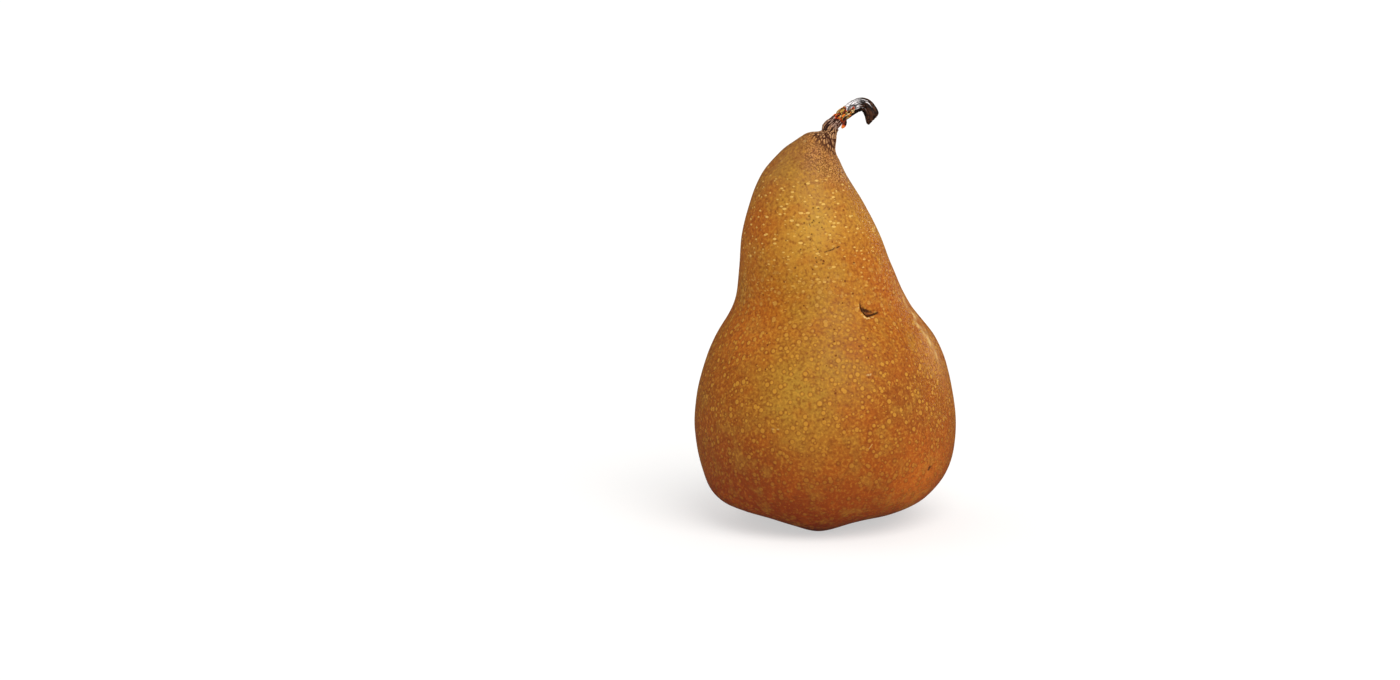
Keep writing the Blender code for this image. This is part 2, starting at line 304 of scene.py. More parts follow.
def share(name, description, value, most=1.0):
    return FloatProperty(name=name, description=description, subtype="FACTOR", min=0, max=most, default=value)


def turn(name, description, degrees):
    return FloatProperty(name=name, description=description, subtype="ANGLE", default=math.radians(degrees))


class PearFruitSettings(bpy.types.PropertyGroup):
    """Sizes and colours of the fruit."""

    height: length("Height", "From the floor to the collar under the stem", FRUIT_BOX[1].z)
    belly_radius: length("Belly Radius", "Half the fruit's width at its fullest", 0.03597)
    sides: count("Sides", "Faces round the fruit", 24, 400, 330)
    rings: count("Rings", "Rings of faces from eye to collar", 24, 400, 250)
    lump_rise: length("Lumps", "Rise of the uneven lumps all over the skin", 0.00016)
    crease_depth: length("Creases", "Depth of the creases round the stem and the eye", 0.00030)
    nick_depth: length("Nick", "Depth of the crescent nick", 0.0009)
    dot_spacing: length("Dot Spacing", "Distance from one pale dot to the next", 0.0017)
    dot_radius: length("Dot Radius", "Radius of the largest pale dots", 0.00082)
    neck_spacing: length("Neck Dot Spacing", "Distance between the flat dots of the neck", 0.0016)
    neck_radius: length("Neck Dot Radius", "Radius of the flat dots of the neck", 0.00054)
    grain: length("Grain", "Size of the finest mottling", 0.0008)
    bump: length("Bump", "Height of the pores and dots in the skin", 0.00016)
    base: colour("Base", "Skin under the fruit", 112, 36, 8)
    heel: colour("Heel", "Skin just over the base", 136, 60, 12)
    belly: colour("Belly", "Skin round the belly", 144, 78, 17)
    shoulder: colour("Shoulder", "Skin of the shoulder", 153, 85, 15)
    neck: colour("Neck", "Skin of the neck", 160, 100, 25)
    crown: colour("Crown", "Skin near the stem", 144, 95, 42)
    olive: colour("Olive", "Greener patches", 161, 123, 42)
    # The gold patch is partly yellower skin and partly a painted highlight on the neck
    gold: colour("Gold", "Pale gold patch of the neck", 180, 137, 52)
    orange: colour("Orange", "Redder patches", 158, 77, 14)
    warm: colour("Warm", "Bright orange patches", 182, 95, 20)
    brown: colour("Brown", "Browner patches", 126, 70, 18)
    dot: colour("Dots", "Pale dots in the skin of the belly", 200, 143, 46)
    dot_pale: colour("Neck Dots", "Paler dots in the skin of the neck", 220, 178, 92)
    pore: colour("Pores", "Darker mottling between the dots", 112, 52, 14)
    pit: colour("Pits", "Dark pits, mostly down the front", 100, 42, 12)
    collar: colour("Collar", "Dry skin round the stem", 98, 55, 26)
    # The pale ridge colours are partly the dry skin's own and partly a painted highlight on the ridge tops
    collar_pale: colour("Collar Ridges", "Raised dry skin between the creases", 190, 135, 74)
    foot: colour("Stem's Foot", "Bark-like skin against the stem", 86, 46, 26)
    foot_pale: colour("Foot Ridges", "Raised bark-like skin between the creases", 200, 154, 108)
    # Besides the nicks' and creases' own dark, this paints shade in the creases and the shadow along the
    # nick's edge
    scar_and_shade: colour("Scar", "Bottom of nicks and creases", 58, 28, 14)
    # Besides the pale flecks, this paints the highlights on the nick's rim and along the shoulder's ridge
    scar_pale_and_highlight: colour("Scar Rim", "Dry rim of nicks, and pale flecks", 220, 190, 122)


class PearStemSettings(bpy.types.PropertyGroup):
    """Sizes and colours of the stem."""

    sides: count("Sides", "Faces round the stem", 12, 300, 132)
    rings: count("Rings", "Rings of faces along the stem", 24, 600, 280)
    ridge_rise: length("Ridges", "Rise of the lengthwise ridges", 0.00022)
    crease_depth: length("Creases", "Depth of the net of creases", 0.00020)
    flake_rise: length("Flakes", "Rise of the bark flakes", 0.00030)
    dark: colour("Dark Bark", "Creases and shaded bark", 24, 13, 9)
    brown: colour("Brown Bark", "Bark near the fruit", 92, 52, 38)
    # The ridge tops' pale colours are partly the bark's own and partly a painted highlight
    pale: colour("Pale Ridges", "Worn tops of the ridges", 206, 176, 158)
    tan: colour("Tan Ridges", "Tops of the ridges next to the fruit", 200, 154, 112)
    chestnut: colour("Chestnut Bark", "Warm bark of the hook", 76, 44, 26)
    # Silver bark: partly weathered bark and partly a painted highlight on the arch
    silver: colour("Silver Bark", "Weathered bark on the arch", 238, 234, 236)
    amber: colour("Amber Flakes", "Thin flakes where the bark lifts", 226, 124, 36)
    gold: colour("Gold Flakes", "Paler flakes where the bark lifts", 176, 138, 62)
    cream: colour("Cream Flakes", "Palest flakes where the bark lifts", 226, 196, 140)
    rust: colour("Rust Flakes", "Redder flakes where the bark lifts", 184, 62, 26)
    wood: colour("Broken End", "Fibres of the broken end", 78, 50, 34)


class PearCalyxSettings(bpy.types.PropertyGroup):
    """Sizes and colours of the calyx."""

    sepal_thickness: length("Sepal Thickness", "Thickness of a sepal", 0.0006)
    wrinkle: length("Wrinkles", "Depth of the wrinkles in the sepals", 0.00016)
    stamens: count("Stamens", "Number of dry stamens", 0, 40, 14)
    dry: colour("Dry Brown", "Dried sepals", 82, 48, 32)
    ash: colour("Ash", "Felt on the sepals", 150, 136, 118)
    heart: colour("Heart", "Middle of the calyx", 128, 112, 52)
    char: colour("Dark Tips", "Blackened edges and tips", 26, 19, 15)


class PearStageSettings(bpy.types.PropertyGroup):
    """The floor, the lights and the camera."""

    floor: colour("Floor", "The pale floor", 247, 246, 245)
    shadow: share("Shadow", "How strongly the pear's shadow shows on the floor", 0.5)
    fill: share("Fill", "Strength of the even light from all round", 0.55, 4)
    gloss: share("Gloss", "Strength of the surroundings in reflections", 0.08, 4)
    key: share("Key", "Strength of the soft key light", 2.4, 8)
    key_heading: turn("Key Heading", "How far right of the camera the key light stands", 27)
    key_height: turn("Key Height", "How high the key light stands", 46)
    key_spread: turn("Key Spread", "How wide the key light looks from the pear", 50)
    rim: share("Rim", "Strength of the low light from behind on the right", 0.13, 8)
    rim_heading: turn("Rim Heading", "How far right of the camera the rim light stands", 140)
    rim_height: turn("Rim Height", "How high the rim light stands", 10)
    rim_spread: turn("Rim Spread", "How wide the rim light looks from the pear", 7)
    left: share("Left", "Strength of the soft light on the left", 0.48, 8)
    left_heading: turn("Left Heading", "How far right of the camera the left light stands", -112)
    left_height: turn("Left Height", "How high the left light stands", 40)
    left_spread: turn("Left Spread", "How wide the left light looks from the pear", 60)
    side: share("Side", "Strength of the low soft light on the right", 0.85, 8)
    side_heading: turn("Side Heading", "How far right of the camera the side light stands", 96)
    side_height: turn("Side Height", "How high the side light stands", 12)
    side_spread: turn("Side Spread", "How wide the side light looks from the pear", 60)
    distance: length("Camera Distance", "From the camera to the pear's middle", 0.909)
    elevation: turn("Camera Elevation", "How high the camera stands", 10)
    lens: FloatProperty(name="Lens", description="Focal length in millimetres", min=1, default=85)


def smooth_line(points, count, crowding=0.0):
    """count points on a smooth curve through points of any dimension. With crowding, which is under 1, they
    stand closer together towards the end."""
    chords = [math.dist(a, b) for a, b in zip(points, points[1:])]
    slopes = []
    for i in range(len(points)):
        before, after = max(i - 1, 0), min(i + 1, len(points) - 1)
        reach = sum(chords[before:after])
        slopes.append([(b - a) / reach for a, b in zip(points[before], points[after])])

    def at(span, part):
        a, b, chord = points[span], points[span + 1], chords[span]
        s2, s3 = part**2, part**3
        weights = (2 * s3 - 3 * s2 + 1, (s3 - 2 * s2 + part) * chord, 3 * s2 - 2 * s3, (s3 - s2) * chord)
        rows = zip(a, slopes[span], b, slopes[span + 1])
        return [sum(w * x for w, x in zip(weights, row)) for row in rows]

    steps = 24
    fine = [at(span, i / steps) for span in range(len(chords)) for i in range(steps)] + [list(points[-1])]
    reach = [0.0]
    for a, b in zip(fine, fine[1:]):
        reach.append(reach[-1] + math.dist(a, b))
    spaced, here = [], 0
    for i in range(count):
        even = i / (count - 1)
        wanted = reach[-1] * (even + crowding * even * (1 - even))
        while here < len(fine) - 2 and reach[here + 1] < wanted:
            here += 1
        part = (wanted - reach[here]) / (reach[here + 1] - reach[here])
        spaced.append([a + (b - a) * part for a, b in zip(fine[here], fine[here + 1])])
    return spaced


def fade(value, full, none):
    """1 at full, 0 at none and past it, with a smooth run between."""
    part = min(max((value - none) / (full - none), 0), 1)
    return part * part * (3 - 2 * part)


def bell(away, half_width):
    """1 at no distance, falling off smoothly."""
    return math.exp(-((away / half_width) ** 2))


def bell_turn(degrees, half_width):
    """The same for an angle in degrees, taken the short way round."""
    return bell((degrees + 180) % 360 - 180, half_width)


def nearest_on(line, spot):
    """(distance, share along, side) of the place on a line of points that is nearest to spot. Side is 1 on
    the left of a flat line and -1 on its right."""
    best = None
    for i, (a, b) in enumerate(zip(line, line[1:])):
        run, off = b - a, spot - a
        part = min(max(off.dot(run) / run.length_squared, 0), 1)
        gap = (off - part * run).length
        if best is None or gap < best[0]:
            cross = run.x * off.y - run.y * off.x
            best = (gap, (i + part) / (len(line) - 1), 1 if cross > 0 else -1)
    return best


def vectors(points):
    return [Vector(point) for point in points]


def straight_tube(rings, sides):
    """A bmesh tube of radius 1, closed at both ends, whose rings stand at heights 0, 1, 2 and so on."""
    bm = bmesh.new()
    line = [bm.verts.new((1, 0, ring)) for ring in range(rings)]
    edges = [bm.edges.new(pair) for pair in zip(line, line[1:])]
    full = {"cent": (0, 0, 0), "axis": (0, 0, 1), "angle": math.tau, "steps": sides, "use_merge": True}
    bmesh.ops.spin(bm, geom=line + edges, **full)
    bmesh.ops.holes_fill(bm, edges=[e for e in bm.edges if e.is_boundary], sides=0)
    return bm


def placed(bm, place):
    """Moves each point of a straight tube to place(ring, angle), and turns the faces outwards."""
    for vertex in bm.verts:
        ring, angle = round(vertex.co.z), math.atan2(vertex.co.y, vertex.co.x)
        vertex.co = place(ring, angle)
    face_outwards(bm)


def face_outwards(bm):
    bmesh.ops.recalc_face_normals(bm, faces=bm.faces)
    if bm.calc_volume(signed=True) < 0:
        bmesh.ops.reverse_faces(bm, faces=bm.faces)


def swept_point(line, ring, angle, side, flatness=1.0, end_normal=None, end_rings=1):
    """A point of a rod round a line of (x, y, z, radius). Flatness is its thickness over its width, which
    lies along side. With end_normal, the last rings turn, over end_rings of them, to face that way."""
    x, y, z, radius = line[ring]
    before, after = line[max(ring - 1, 0)], line[min(ring + 1, len(line) - 1)]
    along = (Vector(after[:3]) - Vector(before[:3])).normalized()
    if end_normal:
        turned = max(1 - (len(line) - 1 - ring) / end_rings, 0)
        along = along.lerp(end_normal.normalized(), turned).normalized()
    across = (side - side.dot(along) * along).normalized()
    up = along.cross(across)
    return Vector((x, y, z)) + radius * (math.cos(angle) * across + flatness * math.sin(angle) * up)


def clear(kind, name):
    """Removes what an earlier run left under a name."""
    old = kind.get(name)
    if old:
        kind.remove(old)


def new_object(name, data):
    """Puts a new object in the scene, in place of an older one of its name."""
    clear(bpy.data.objects, name)
    made = bpy.data.objects.new(name, data)
    bpy.context.scene.collection.objects.link(made)
    return made


def object_from(name, bm, material):
    """Turns a bmesh into an object."""
    mesh = bpy.data.meshes.new(name)
    bm.to_mesh(mesh)
    bm.free()
    mesh.materials.append(material)
    return new_object(name, mesh)


def finished_piece(name, bm, material, node):
    """Turns a bmesh into a smooth piece that stands for a CAD node."""
    piece = object_from(name, bm, material)
    piece.data.shade_smooth()
    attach(piece, "root")
    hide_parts(node)


# Node building


class Nodes:
    """Adds nodes to a tree. An input is a value or another node's output."""

    def __init__(self, tree):
        self.tree = tree

    def add(self, kind, inputs=None, **settings):
        node = self.tree.nodes.new("ShaderNode" + kind)
        column, row = divmod(len(self.tree.nodes), 6)
        node.location = (220 * column, -260 * row)
        for name, value in settings.items():
            setattr(node, name, value)
        for name, value in (inputs or {}).items():
            self.feed(node.inputs[name], value)
        return node

    def feed(self, socket, value):
        if isinstance(value, bpy.types.NodeSocket):
            self.tree.links.new(value, socket)
        elif socket.type == "RGBA":
            socket.default_value = (*value, 1)
        else:
            socket.default_value = value

    def maths(self, operation, *values):
        return self.add("Math", dict(enumerate(values)), operation=operation).outputs[0]

    def times(self, first, second):
        return self.maths("MULTIPLY", first, second)

    def vector(self, operation, *values):
        node = self.add("VectorMath", operation=operation)
        for socket, value in zip(node.inputs, values):
            self.feed(socket, value)
        return node.outputs["Value" if operation in ("LENGTH", "DISTANCE", "DOT_PRODUCT") else "Vector"]

    def run(self, value, low, high, to_low=0.0, to_high=1.0):
        """A smooth run from to_low at low to to_high at high."""
        inputs = {"Value": value, "From Min": low, "From Max": high, "To Min": to_low, "To Max": to_high}
        return self.add("MapRange", inputs, interpolation_type="SMOOTHSTEP").outputs["Result"]

    def mix(self, part, first, second):
        """A number that goes from first to second as part goes from 0 to 1."""
        return self.add("Mix", {"Factor": part, "A": first, "B": second}).outputs["Result"]

    def lay(self, under, over, part, *strengths):
        """One colour laid on another, as strongly as the product of part and strengths says."""
        for strength in strengths:
            part = self.times(part, strength)
        node = self.add("Mix", data_type="RGBA")
        for index, value in ((0, part), (6, under), (7, over)):
            self.feed(node.inputs[index], value)
        return node.outputs[2]

    def group(self, tree, inputs):
        node = self.add("Group")
        node.node_tree = tree
        for name, value in inputs.items():
            self.feed(node.inputs[name], value)
        return node.outputs

    def noise(self, vector, scale, detail=2.0, rough=0.5):
        inputs = {"Vector": vector, "Scale": scale, "Detail": detail, "Roughness": rough}
        return self.add("TexNoise", inputs).outputs["Fac"]

    def attribute(self, name):
        return self.add("Attribute", attribute_name=name).outputs["Fac"]

    def specks(self, vector, spacing, radius, edge, share):
        """The outputs of the group of round specks."""
        inputs = {"Vector": vector, "Spacing": spacing, "Radius": radius, "Soft Edge": edge, "Share": share}
        return self.group(speckle_group(), inputs)

    def patch(self, vector, middle, reach, fray):
        """The mask of a soft patch."""
        inputs = {"Vector": vector, "Middle": middle, "Reach": reach, "Fray": fray}
        return self.group(patch_group(), inputs)["Mask"]

    def bump(self, shader, height, distance, strength):
        relief = self.add("Bump", {"Height": height, "Distance": distance, "Strength": strength})
        self.feed(shader.inputs["Normal"], relief.outputs["Normal"])


def group_tree(name, inputs, outputs):
    """(Nodes, inputs' sockets, outputs' sockets) of a new shader group."""
    tree = bpy.data.node_groups.new(name, "ShaderNodeTree")
    for label, (kind, value) in inputs.items():
        socket = tree.interface.new_socket(label, in_out="INPUT", socket_type="NodeSocket" + kind)
        if value is not None:
            socket.default_value = value
    for label in outputs:
        tree.interface.new_socket(label, in_out="OUTPUT", socket_type="NodeSocketFloat")
    start = tree.nodes.new("NodeGroupInput")
    end = tree.nodes.new("NodeGroupOutput")
    return Nodes(tree), start.outputs, end.inputs


def speckle_group():
    """Round specks scattered through the solid, of mixed sizes."""
    name = "Specks"
    if name in bpy.data.node_groups:
        return bpy.data.node_groups[name]
    inputs = {
        "Vector": ("Vector", None),
        "Spacing": ("Float", 0.002),
        "Radius": ("Float", 0.0005),
        "Soft Edge": ("Float", 0.3),
        "Share": ("Float", 1.0),
    }
    nodes, given, out = group_tree(name, inputs, ("Mask", "Halo"))
    scale = nodes.maths("DIVIDE", 1.0, given["Spacing"])
    cells = nodes.add("TexVoronoi", {"Vector": given["Vector"], "Scale": scale, "Randomness": 1.0})
    chance = nodes.add("SeparateColor", {"Color": cells.outputs["Color"]})
    size = nodes.maths("MULTIPLY_ADD", chance.outputs["Red"], 0.5, 0.5)
    reach = nodes.times(nodes.times(given["Radius"], scale), size)
    inner = nodes.times(reach, nodes.maths("SUBTRACT", 1.0, given["Soft Edge"]))
    there = nodes.maths("LESS_THAN", chance.outputs["Green"], given["Share"])
    near = nodes.run(cells.outputs["Distance"], reach, inner)
    halo = nodes.run(cells.outputs["Distance"], nodes.times(reach, 1.5), reach)
    nodes.feed(out["Mask"], nodes.times(near, there))
    nodes.feed(out["Halo"], nodes.times(halo, there))
    return nodes.tree


def patch_group():
    """A soft round patch about a point, with an edge that noise frays."""
    name = "Soft Patch"
    if name in bpy.data.node_groups:
        return bpy.data.node_groups[name]
    inputs = {
        "Vector": ("Vector", None),
        "Middle": ("Vector", (0, 0, 0)),
        "Reach": ("Float", 0.01),
        "Fray": ("Float", 0.004),
        "Grain": ("Float", 0.008),
    }
    nodes, given, out = group_tree(name, inputs, ("Mask",))
    away = nodes.vector("DISTANCE", given["Vector"], given["Middle"])
    frayed = nodes.noise(given["Vector"], nodes.maths("DIVIDE", 1.0, given["Grain"]), 3.0, 0.55)
    shift = nodes.times(nodes.maths("SUBTRACT", frayed, 0.5), given["Fray"])
    nodes.feed(out["Mask"], nodes.run(nodes.maths("ADD", away, shift), given["Reach"], 0.0))
    return nodes.tree


def set_ramp(ramp, stops, kind="LINEAR"):
    """Gives a colour ramp its stops, which are (position, colour)."""
    ramp.interpolation = kind
    while len(ramp.elements) < len(stops):
        ramp.elements.new(1.0)
    for element, (at, tone) in zip(ramp.elements, stops):
        element.position, element.color = at, (*tone, 1)


def new_material(name, **constants):
    """(Nodes, shader) of a new material, with the values that are the same all over set on its shader."""
    clear(bpy.data.materials, name)
    material = bpy.data.materials.new(name)
    material.use_nodes = True
    shader = material.node_tree.nodes["Principled BSDF"]
    for label, value in constants.items():
        shader.inputs[label.replace("_", " ")].default_value = value
    return material, Nodes(material.node_tree), shader


# The fruit


def outline_rows(settings, count, crowding=0.0):
    """(radius, height, lean) at count rings of the skin."""
    wide, high = settings.belly_radius, settings.height
    return smooth_line([(r * wide, h * high, lean * wide) for r, h, lean in SKIN_OUTLINE], count, crowding)


def skin_point(radius, height, lean, angle, ring_radius):
    """Where the smooth skin is, for a ring of the outline and an angle round it."""
    heading = math.degrees(angle)
    swelling = sum(
        rise * bell_turn(heading - at, wide) * bell(height - level, tall)
        for at, level, rise, wide, tall in SIDE_SWELLINGS
    )
    low = fade(height, 0, BASE_LOBES_END) * fade(radius, ring_radius, EYE_RADIUS)
    drop = sum(depth * bell_turn(heading - at, wide) for at, depth, wide in BASE_LOBES)
    level = max(height + low * (RING_LIFT - drop), 0)
    radius += swelling * fade(radius + height, SIDES_START[1], SIDES_START[0])
    return Vector((
        radius * math.cos(angle) + lean * math.cos(LEAN_HEADING),
        radius * math.sin(angle) + lean * math.sin(LEAN_HEADING),
        level,
    ))


def collar_middle(settings):
    _, height, lean = outline_rows(settings, 2)[-1]
    return Vector((lean * math.cos(LEAN_HEADING), lean * math.sin(LEAN_HEADING), height))


def net(spot, width):
    """0 in the fields of a net of lines through spot's space, and 1 on the lines."""
    near, _ = noise.voronoi(spot)
    return bell(near[1] - near[0], width)


def long_net(heading, down, point):
    """The net of lengthwise creases that runs from the stem over the collar. Down is how far below the stem's
    foot the point is, and so is less than 0 on the stem."""
    round_it = Vector((math.cos(heading), math.sin(heading), 0))
    web = NET_ROUND * math.sqrt(1 + max(down, 0) / NET_SPREAD) * round_it
    web.z = down / NET_LENGTH + 0.4 * noise.noise(point * 420)
    return net(web, NET_LINES)


def collar_relief(point, mouth):
    """(share of the crease depth, how strongly it is creased) round the stem's foot. The creases reach
    further down on the side that the stem leans to, and are finer further out."""
    away = point - mouth
    if away.length > COLLAR_REACH:
        return 0, 0
    heading = math.atan2(away.y, away.x)
    lopsided = away.length * (1 - 0.16 * math.cos(heading + 0.5))
    strength = fade(lopsided, 0.0035, 0.0125)
    lines = long_net(heading, away.length - 0.0024, point)
    fine = net(point * 1150, 0.22)
    wide = fade(lopsided, 0.0050, 0.0095)
    return strength * (wide * lines + (1 - wide) * 0.7 * fine), strength


def eye_relief(point, rim):
    """Share of the crease depth round the eye, where the skin puckers."""
    away = math.hypot(point.x, point.y)
    strength = fade(away, 0.0040, 0.0120) * fade(point.z, rim, 0)
    if strength == 0 or point.z > 0.02:
        return 0
    heading = math.atan2(point.y, point.x)
    fan = Vector((math.cos(heading), math.sin(heading), away * 60)) * 2.6
    return strength * net(fan, 0.25)


def dent(gap, sizes):
    """(rise, tint) of a mark at a distance from its line."""
    rise, wide, tint_wide = sizes
    return rise * bell(gap, wide), bell(gap, tint_wide)


class Marks:
    """The marks on the skin's front: nick, scratch, spot, ridge, pits, flecks and fold. Each has a method
    for its (rise, mark) at a place. Mark is up to 1 where it is dark, and down to -1 where it is pale. The
    dark holds the nick's painted shadow, and the pale the painted highlights on the nick's rim and the ridge."""

    def __init__(self, settings):
        self.deep = settings.nick_depth
        self.edge, self.crook = vectors(NICK_EDGE), vectors(NICK_FOLD)
        self.scratch, self.spot = vectors(SCRATCH), vectors(SPOT)
        self.fold, self.ridge = vectors(FOLD), vectors(RIDGE)
        self.pits = vectors(PITS)
        self.flecks = [(vectors(ends), wide) for *ends, wide in FLECKS]

    def close_to(self, line, spot, reach):
        """A quick test of whether a line may come within reach of a spot."""
        return (spot - line[len(line) // 2]).length < reach + (line[-1] - line[0]).length

    def near(self, point):
        """Whether the skin is to be refined there."""
        seen = Vector((point.x, point.z))
        if point.y > 0:
            return False
        if (seen - NICK_MIDDLE).length < NICK_REACH * 2 / 3:
            return True
        lines = [(self.scratch, seen, 0.0009), (self.spot, seen, 0.0011), (self.fold, point, 0.0012)]
        lines += [(line, seen, 0.0009) for line, _ in self.flecks]
        for line, spot, reach in lines:
            if self.close_to(line, spot, reach) and nearest_on(line, spot)[0] < reach:
                return True
        low, high = PIT_HEIGHTS
        return low < point.z < high and any((seen - pit).length < PIT_REACH for pit in self.pits)

    def nick_at(self, point, seen):
        """A crescent cut: a fibrous floor under a dark edge that carries painted shadow, a crook across it,
        and a pale raised rim that carries a painted highlight.
        """
        if (seen - NICK_MIDDLE).length >= NICK_REACH:
            return 0, 0
        gap, along, side = nearest_on(self.edge, seen)
        inside = gap * side
        full = math.sin(math.pi * (0.10 + 0.80 * along)) ** 0.5
        ragged = 1 + 0.5 * noise.noise(point * 2600)
        floor = fade(inside, 0.00025, 0) * fade(inside, 0.0009, 0.0015)
        fibres = noise.noise(Vector((seen.x * 2600, seen.y * 5200, 0)))
        edge = bell(inside - 0.00012, 0.00018)
        # Painted shadow along the nick's edge
        shade = bell(inside - 0.00012, 0.00018 + 0.00014 * along)
        gap, part, _ = nearest_on(self.crook, seen)
        crook = bell(gap, 0.00030) * math.sin(math.pi * (0.16 + 0.72 * part))
        # Painted highlight on the raised rim below the edge
        pale = max(0.4 + 1.6 * noise.noise(point * 1700), 0) * bell(inside + 0.00042, 0.00024)
        rise = 0.00010 * full * bell(inside + 0.00035, 0.0003)
        rise -= self.deep * full * ragged * (0.55 * floor + 0.65 * edge + 0.3 * crook)
        mark = ragged * (1.2 * full * shade + 1.1 * crook) + full * floor * (0.44 + 0.6 * fibres)
        return rise, mark - 1.2 * full * pale

    def scratch_at(self, point, seen):
        if not self.close_to(self.scratch, seen, 0.001):
            return 0, 0
        gap, along, _ = nearest_on(self.scratch, seen)
        rise, tint = dent(gap, SCRATCH_SIZES)
        broken = 0.75 + 0.8 * noise.noise(Vector((along * 6, 3, 1)))
        return rise, 0.9 * max(broken, 0.3) * tint

    def spot_at(self, point, seen):
        if not self.close_to(self.spot, seen, 0.0015):
            return 0, 0
        rise, tint = dent(nearest_on(self.spot, seen)[0], SPOT_SIZES)
        return rise, 0.75 * tint

    def ridge_at(self, point, seen):
        if not self.close_to(self.ridge, seen, 0.002):
            return 0, 0
        gap, along, _ = nearest_on(self.ridge, seen)
        rise, tint = dent(gap, RIDGE_SIZES)
        # The ridge's pale tint is a painted highlight streak, strongest in its middle
        ridges_and_highlight = math.sin(math.pi * along) * (0.80 + noise.noise(point * 500))
        return rise * ridges_and_highlight, -0.56 * tint * ridges_and_highlight

    def pits_at(self, point, seen):
        low, high = PIT_HEIGHTS
        if not low - PIT_REACH < point.z < high + PIT_REACH:
            return 0, 0
        gaps = [(seen - pit).length for pit in self.pits]
        dents = [dent(gap, PIT_SIZES) for gap in gaps if gap < PIT_REACH]
        return sum(rise for rise, _ in dents), 0.8 * sum(tint for _, tint in dents)

    def flecks_at(self, point, seen):
        mark = 0
        for line, wide in self.flecks:
            if self.close_to(line, seen, 0.0008):
                broken = 0.9 + 0.6 * noise.noise(point * 3000)
                mark -= 0.58 * bell(nearest_on(line, seen)[0], wide) * broken
        return 0, mark

    def fold_at(self, point, seen):
        if not self.close_to(self.fold, point, 0.0015):
            return 0, 0
        gap, _, _ = nearest_on(self.fold, point)
        rise, tint = dent(gap, FOLD_SIZES)
        return rise, (0.5 + noise.noise(point * 900)) * tint - 0.35 * bell(gap, 0.0009)

    def at(self, point):
        """(rise, mark) of all the marks together."""
        if point.y > 0:
            return 0, 0
        seen = Vector((point.x, point.z))
        lines = (self.nick_at, self.scratch_at, self.spot_at, self.ridge_at, self.fold_at)
        marks = [found(point, seen) for found in (*lines, self.pits_at, self.flecks_at)]
        rise, mark = (sum(values) for values in zip(*marks))
        return rise, max(min(mark, 1), -1)


def fruit_bmesh(settings):
    """The fruit in one closed skin, from the floor of its eye to the floor of the stem's socket, with its
    lumps, creases and marks."""
    rings = settings.rings
    skin = outline_rows(settings, rings, RINGS_CROWDING)
    mouth = collar_middle(settings)
    ring_radius = LOBE_RING_SHARE * settings.belly_radius
    eye_rim = skin[0][1]
    total = rings + 2 + len(SOCKET_LIP) + 1

    def place(ring, angle):
        across = Vector((math.cos(angle), math.sin(angle), 0))
        if ring < 2:
            return EYE_RADIUS * across + Vector((0, 0, eye_rim + (EYE_DEPTH if ring == 0 else 0)))
        if ring == total - 1:
            return mouth + SOCKET_RADIUS * across + Vector((SOCKET_SLANT, 0, -SOCKET_DEPTH))
        if ring >= rings + 2:
            radius, up = SOCKET_LIP[ring - rings - 2]
            return mouth + radius * across + Vector((0, 0, up))
        return skin_point(*skin[ring - 2], angle, ring_radius)

    bm = straight_tube(total, settings.sides)
    placed(bm, place)
    marks = Marks(settings)
    close = {vertex for vertex in bm.verts if marks.near(vertex.co)}
    edges = [e for e in bm.edges if e.verts[0] in close and e.verts[1] in close]
    bmesh.ops.subdivide_edges(bm, edges=edges, cuts=3, use_grid_fill=True)
    bm.normal_update()
    crease, dry, mark = (bm.verts.layers.float.new(name) for name in SKIN_TAGS)
    moves = []
    for vertex in bm.verts:
        point, normal = vertex.co, vertex.normal
        in_eye = eye_rim < point.z < 0.02 and math.hypot(point.x, point.y) < EYE_RADIUS + 0.0002
        in_socket = (point - mouth).length < SOCKET_REACH and normal.z <= 0.3
        rise = settings.lump_rise * (noise.noise(point * 55) + 0.45 * noise.noise(point * 170))
        if point.z > COLLAR_SHAPES_START:
            rise += sum(up * bell((point - Vector(spot)).length, reach) for spot, up, reach in COLLAR_SHAPES)
        lines, strength = collar_relief(point, mouth)
        pucker = eye_relief(point, PUCKER_HEIGHT)
        vertex[crease] = max(lines, pucker)
        vertex[dry] = strength
        mark_rise, vertex[mark] = marks.at(point)
        rise += mark_rise - settings.crease_depth * (lines + 0.7 * pucker - 0.5 * strength)
        moves.append(point.copy() if in_eye or in_socket else point + rise * normal)
    for vertex, point in zip(bm.verts, moves):
        vertex.co = point
        vertex.co.z = max(point.z, 0)
    return bm


def height_tones(nodes, settings, place, height):
    """The skin's tone by its height, which wanders a little, with soft patches of other colours on it, among
    which are painted highlights on the neck and the right shoulder and a painted shadow low on the left.
    """
    wander = nodes.maths("SUBTRACT", nodes.noise(place, 45.0, 3.0), 0.5)
    level = nodes.maths("MULTIPLY_ADD", wander, 0.16, nodes.maths("DIVIDE", height, settings.height))
    tones = nodes.add("ValToRGB", {"Fac": level})
    set_ramp(tones.color_ramp, [(at, getattr(settings, name)) for at, name in SKIN_TONES])
    tone = tones.outputs["Color"]
    for name, strength, middle, reach in SKIN_PATCHES:
        mask = nodes.patch(place, middle, reach, PATCH_FRAY)
        tone = nodes.lay(tone, getattr(settings, name), mask, strength)
    return tone


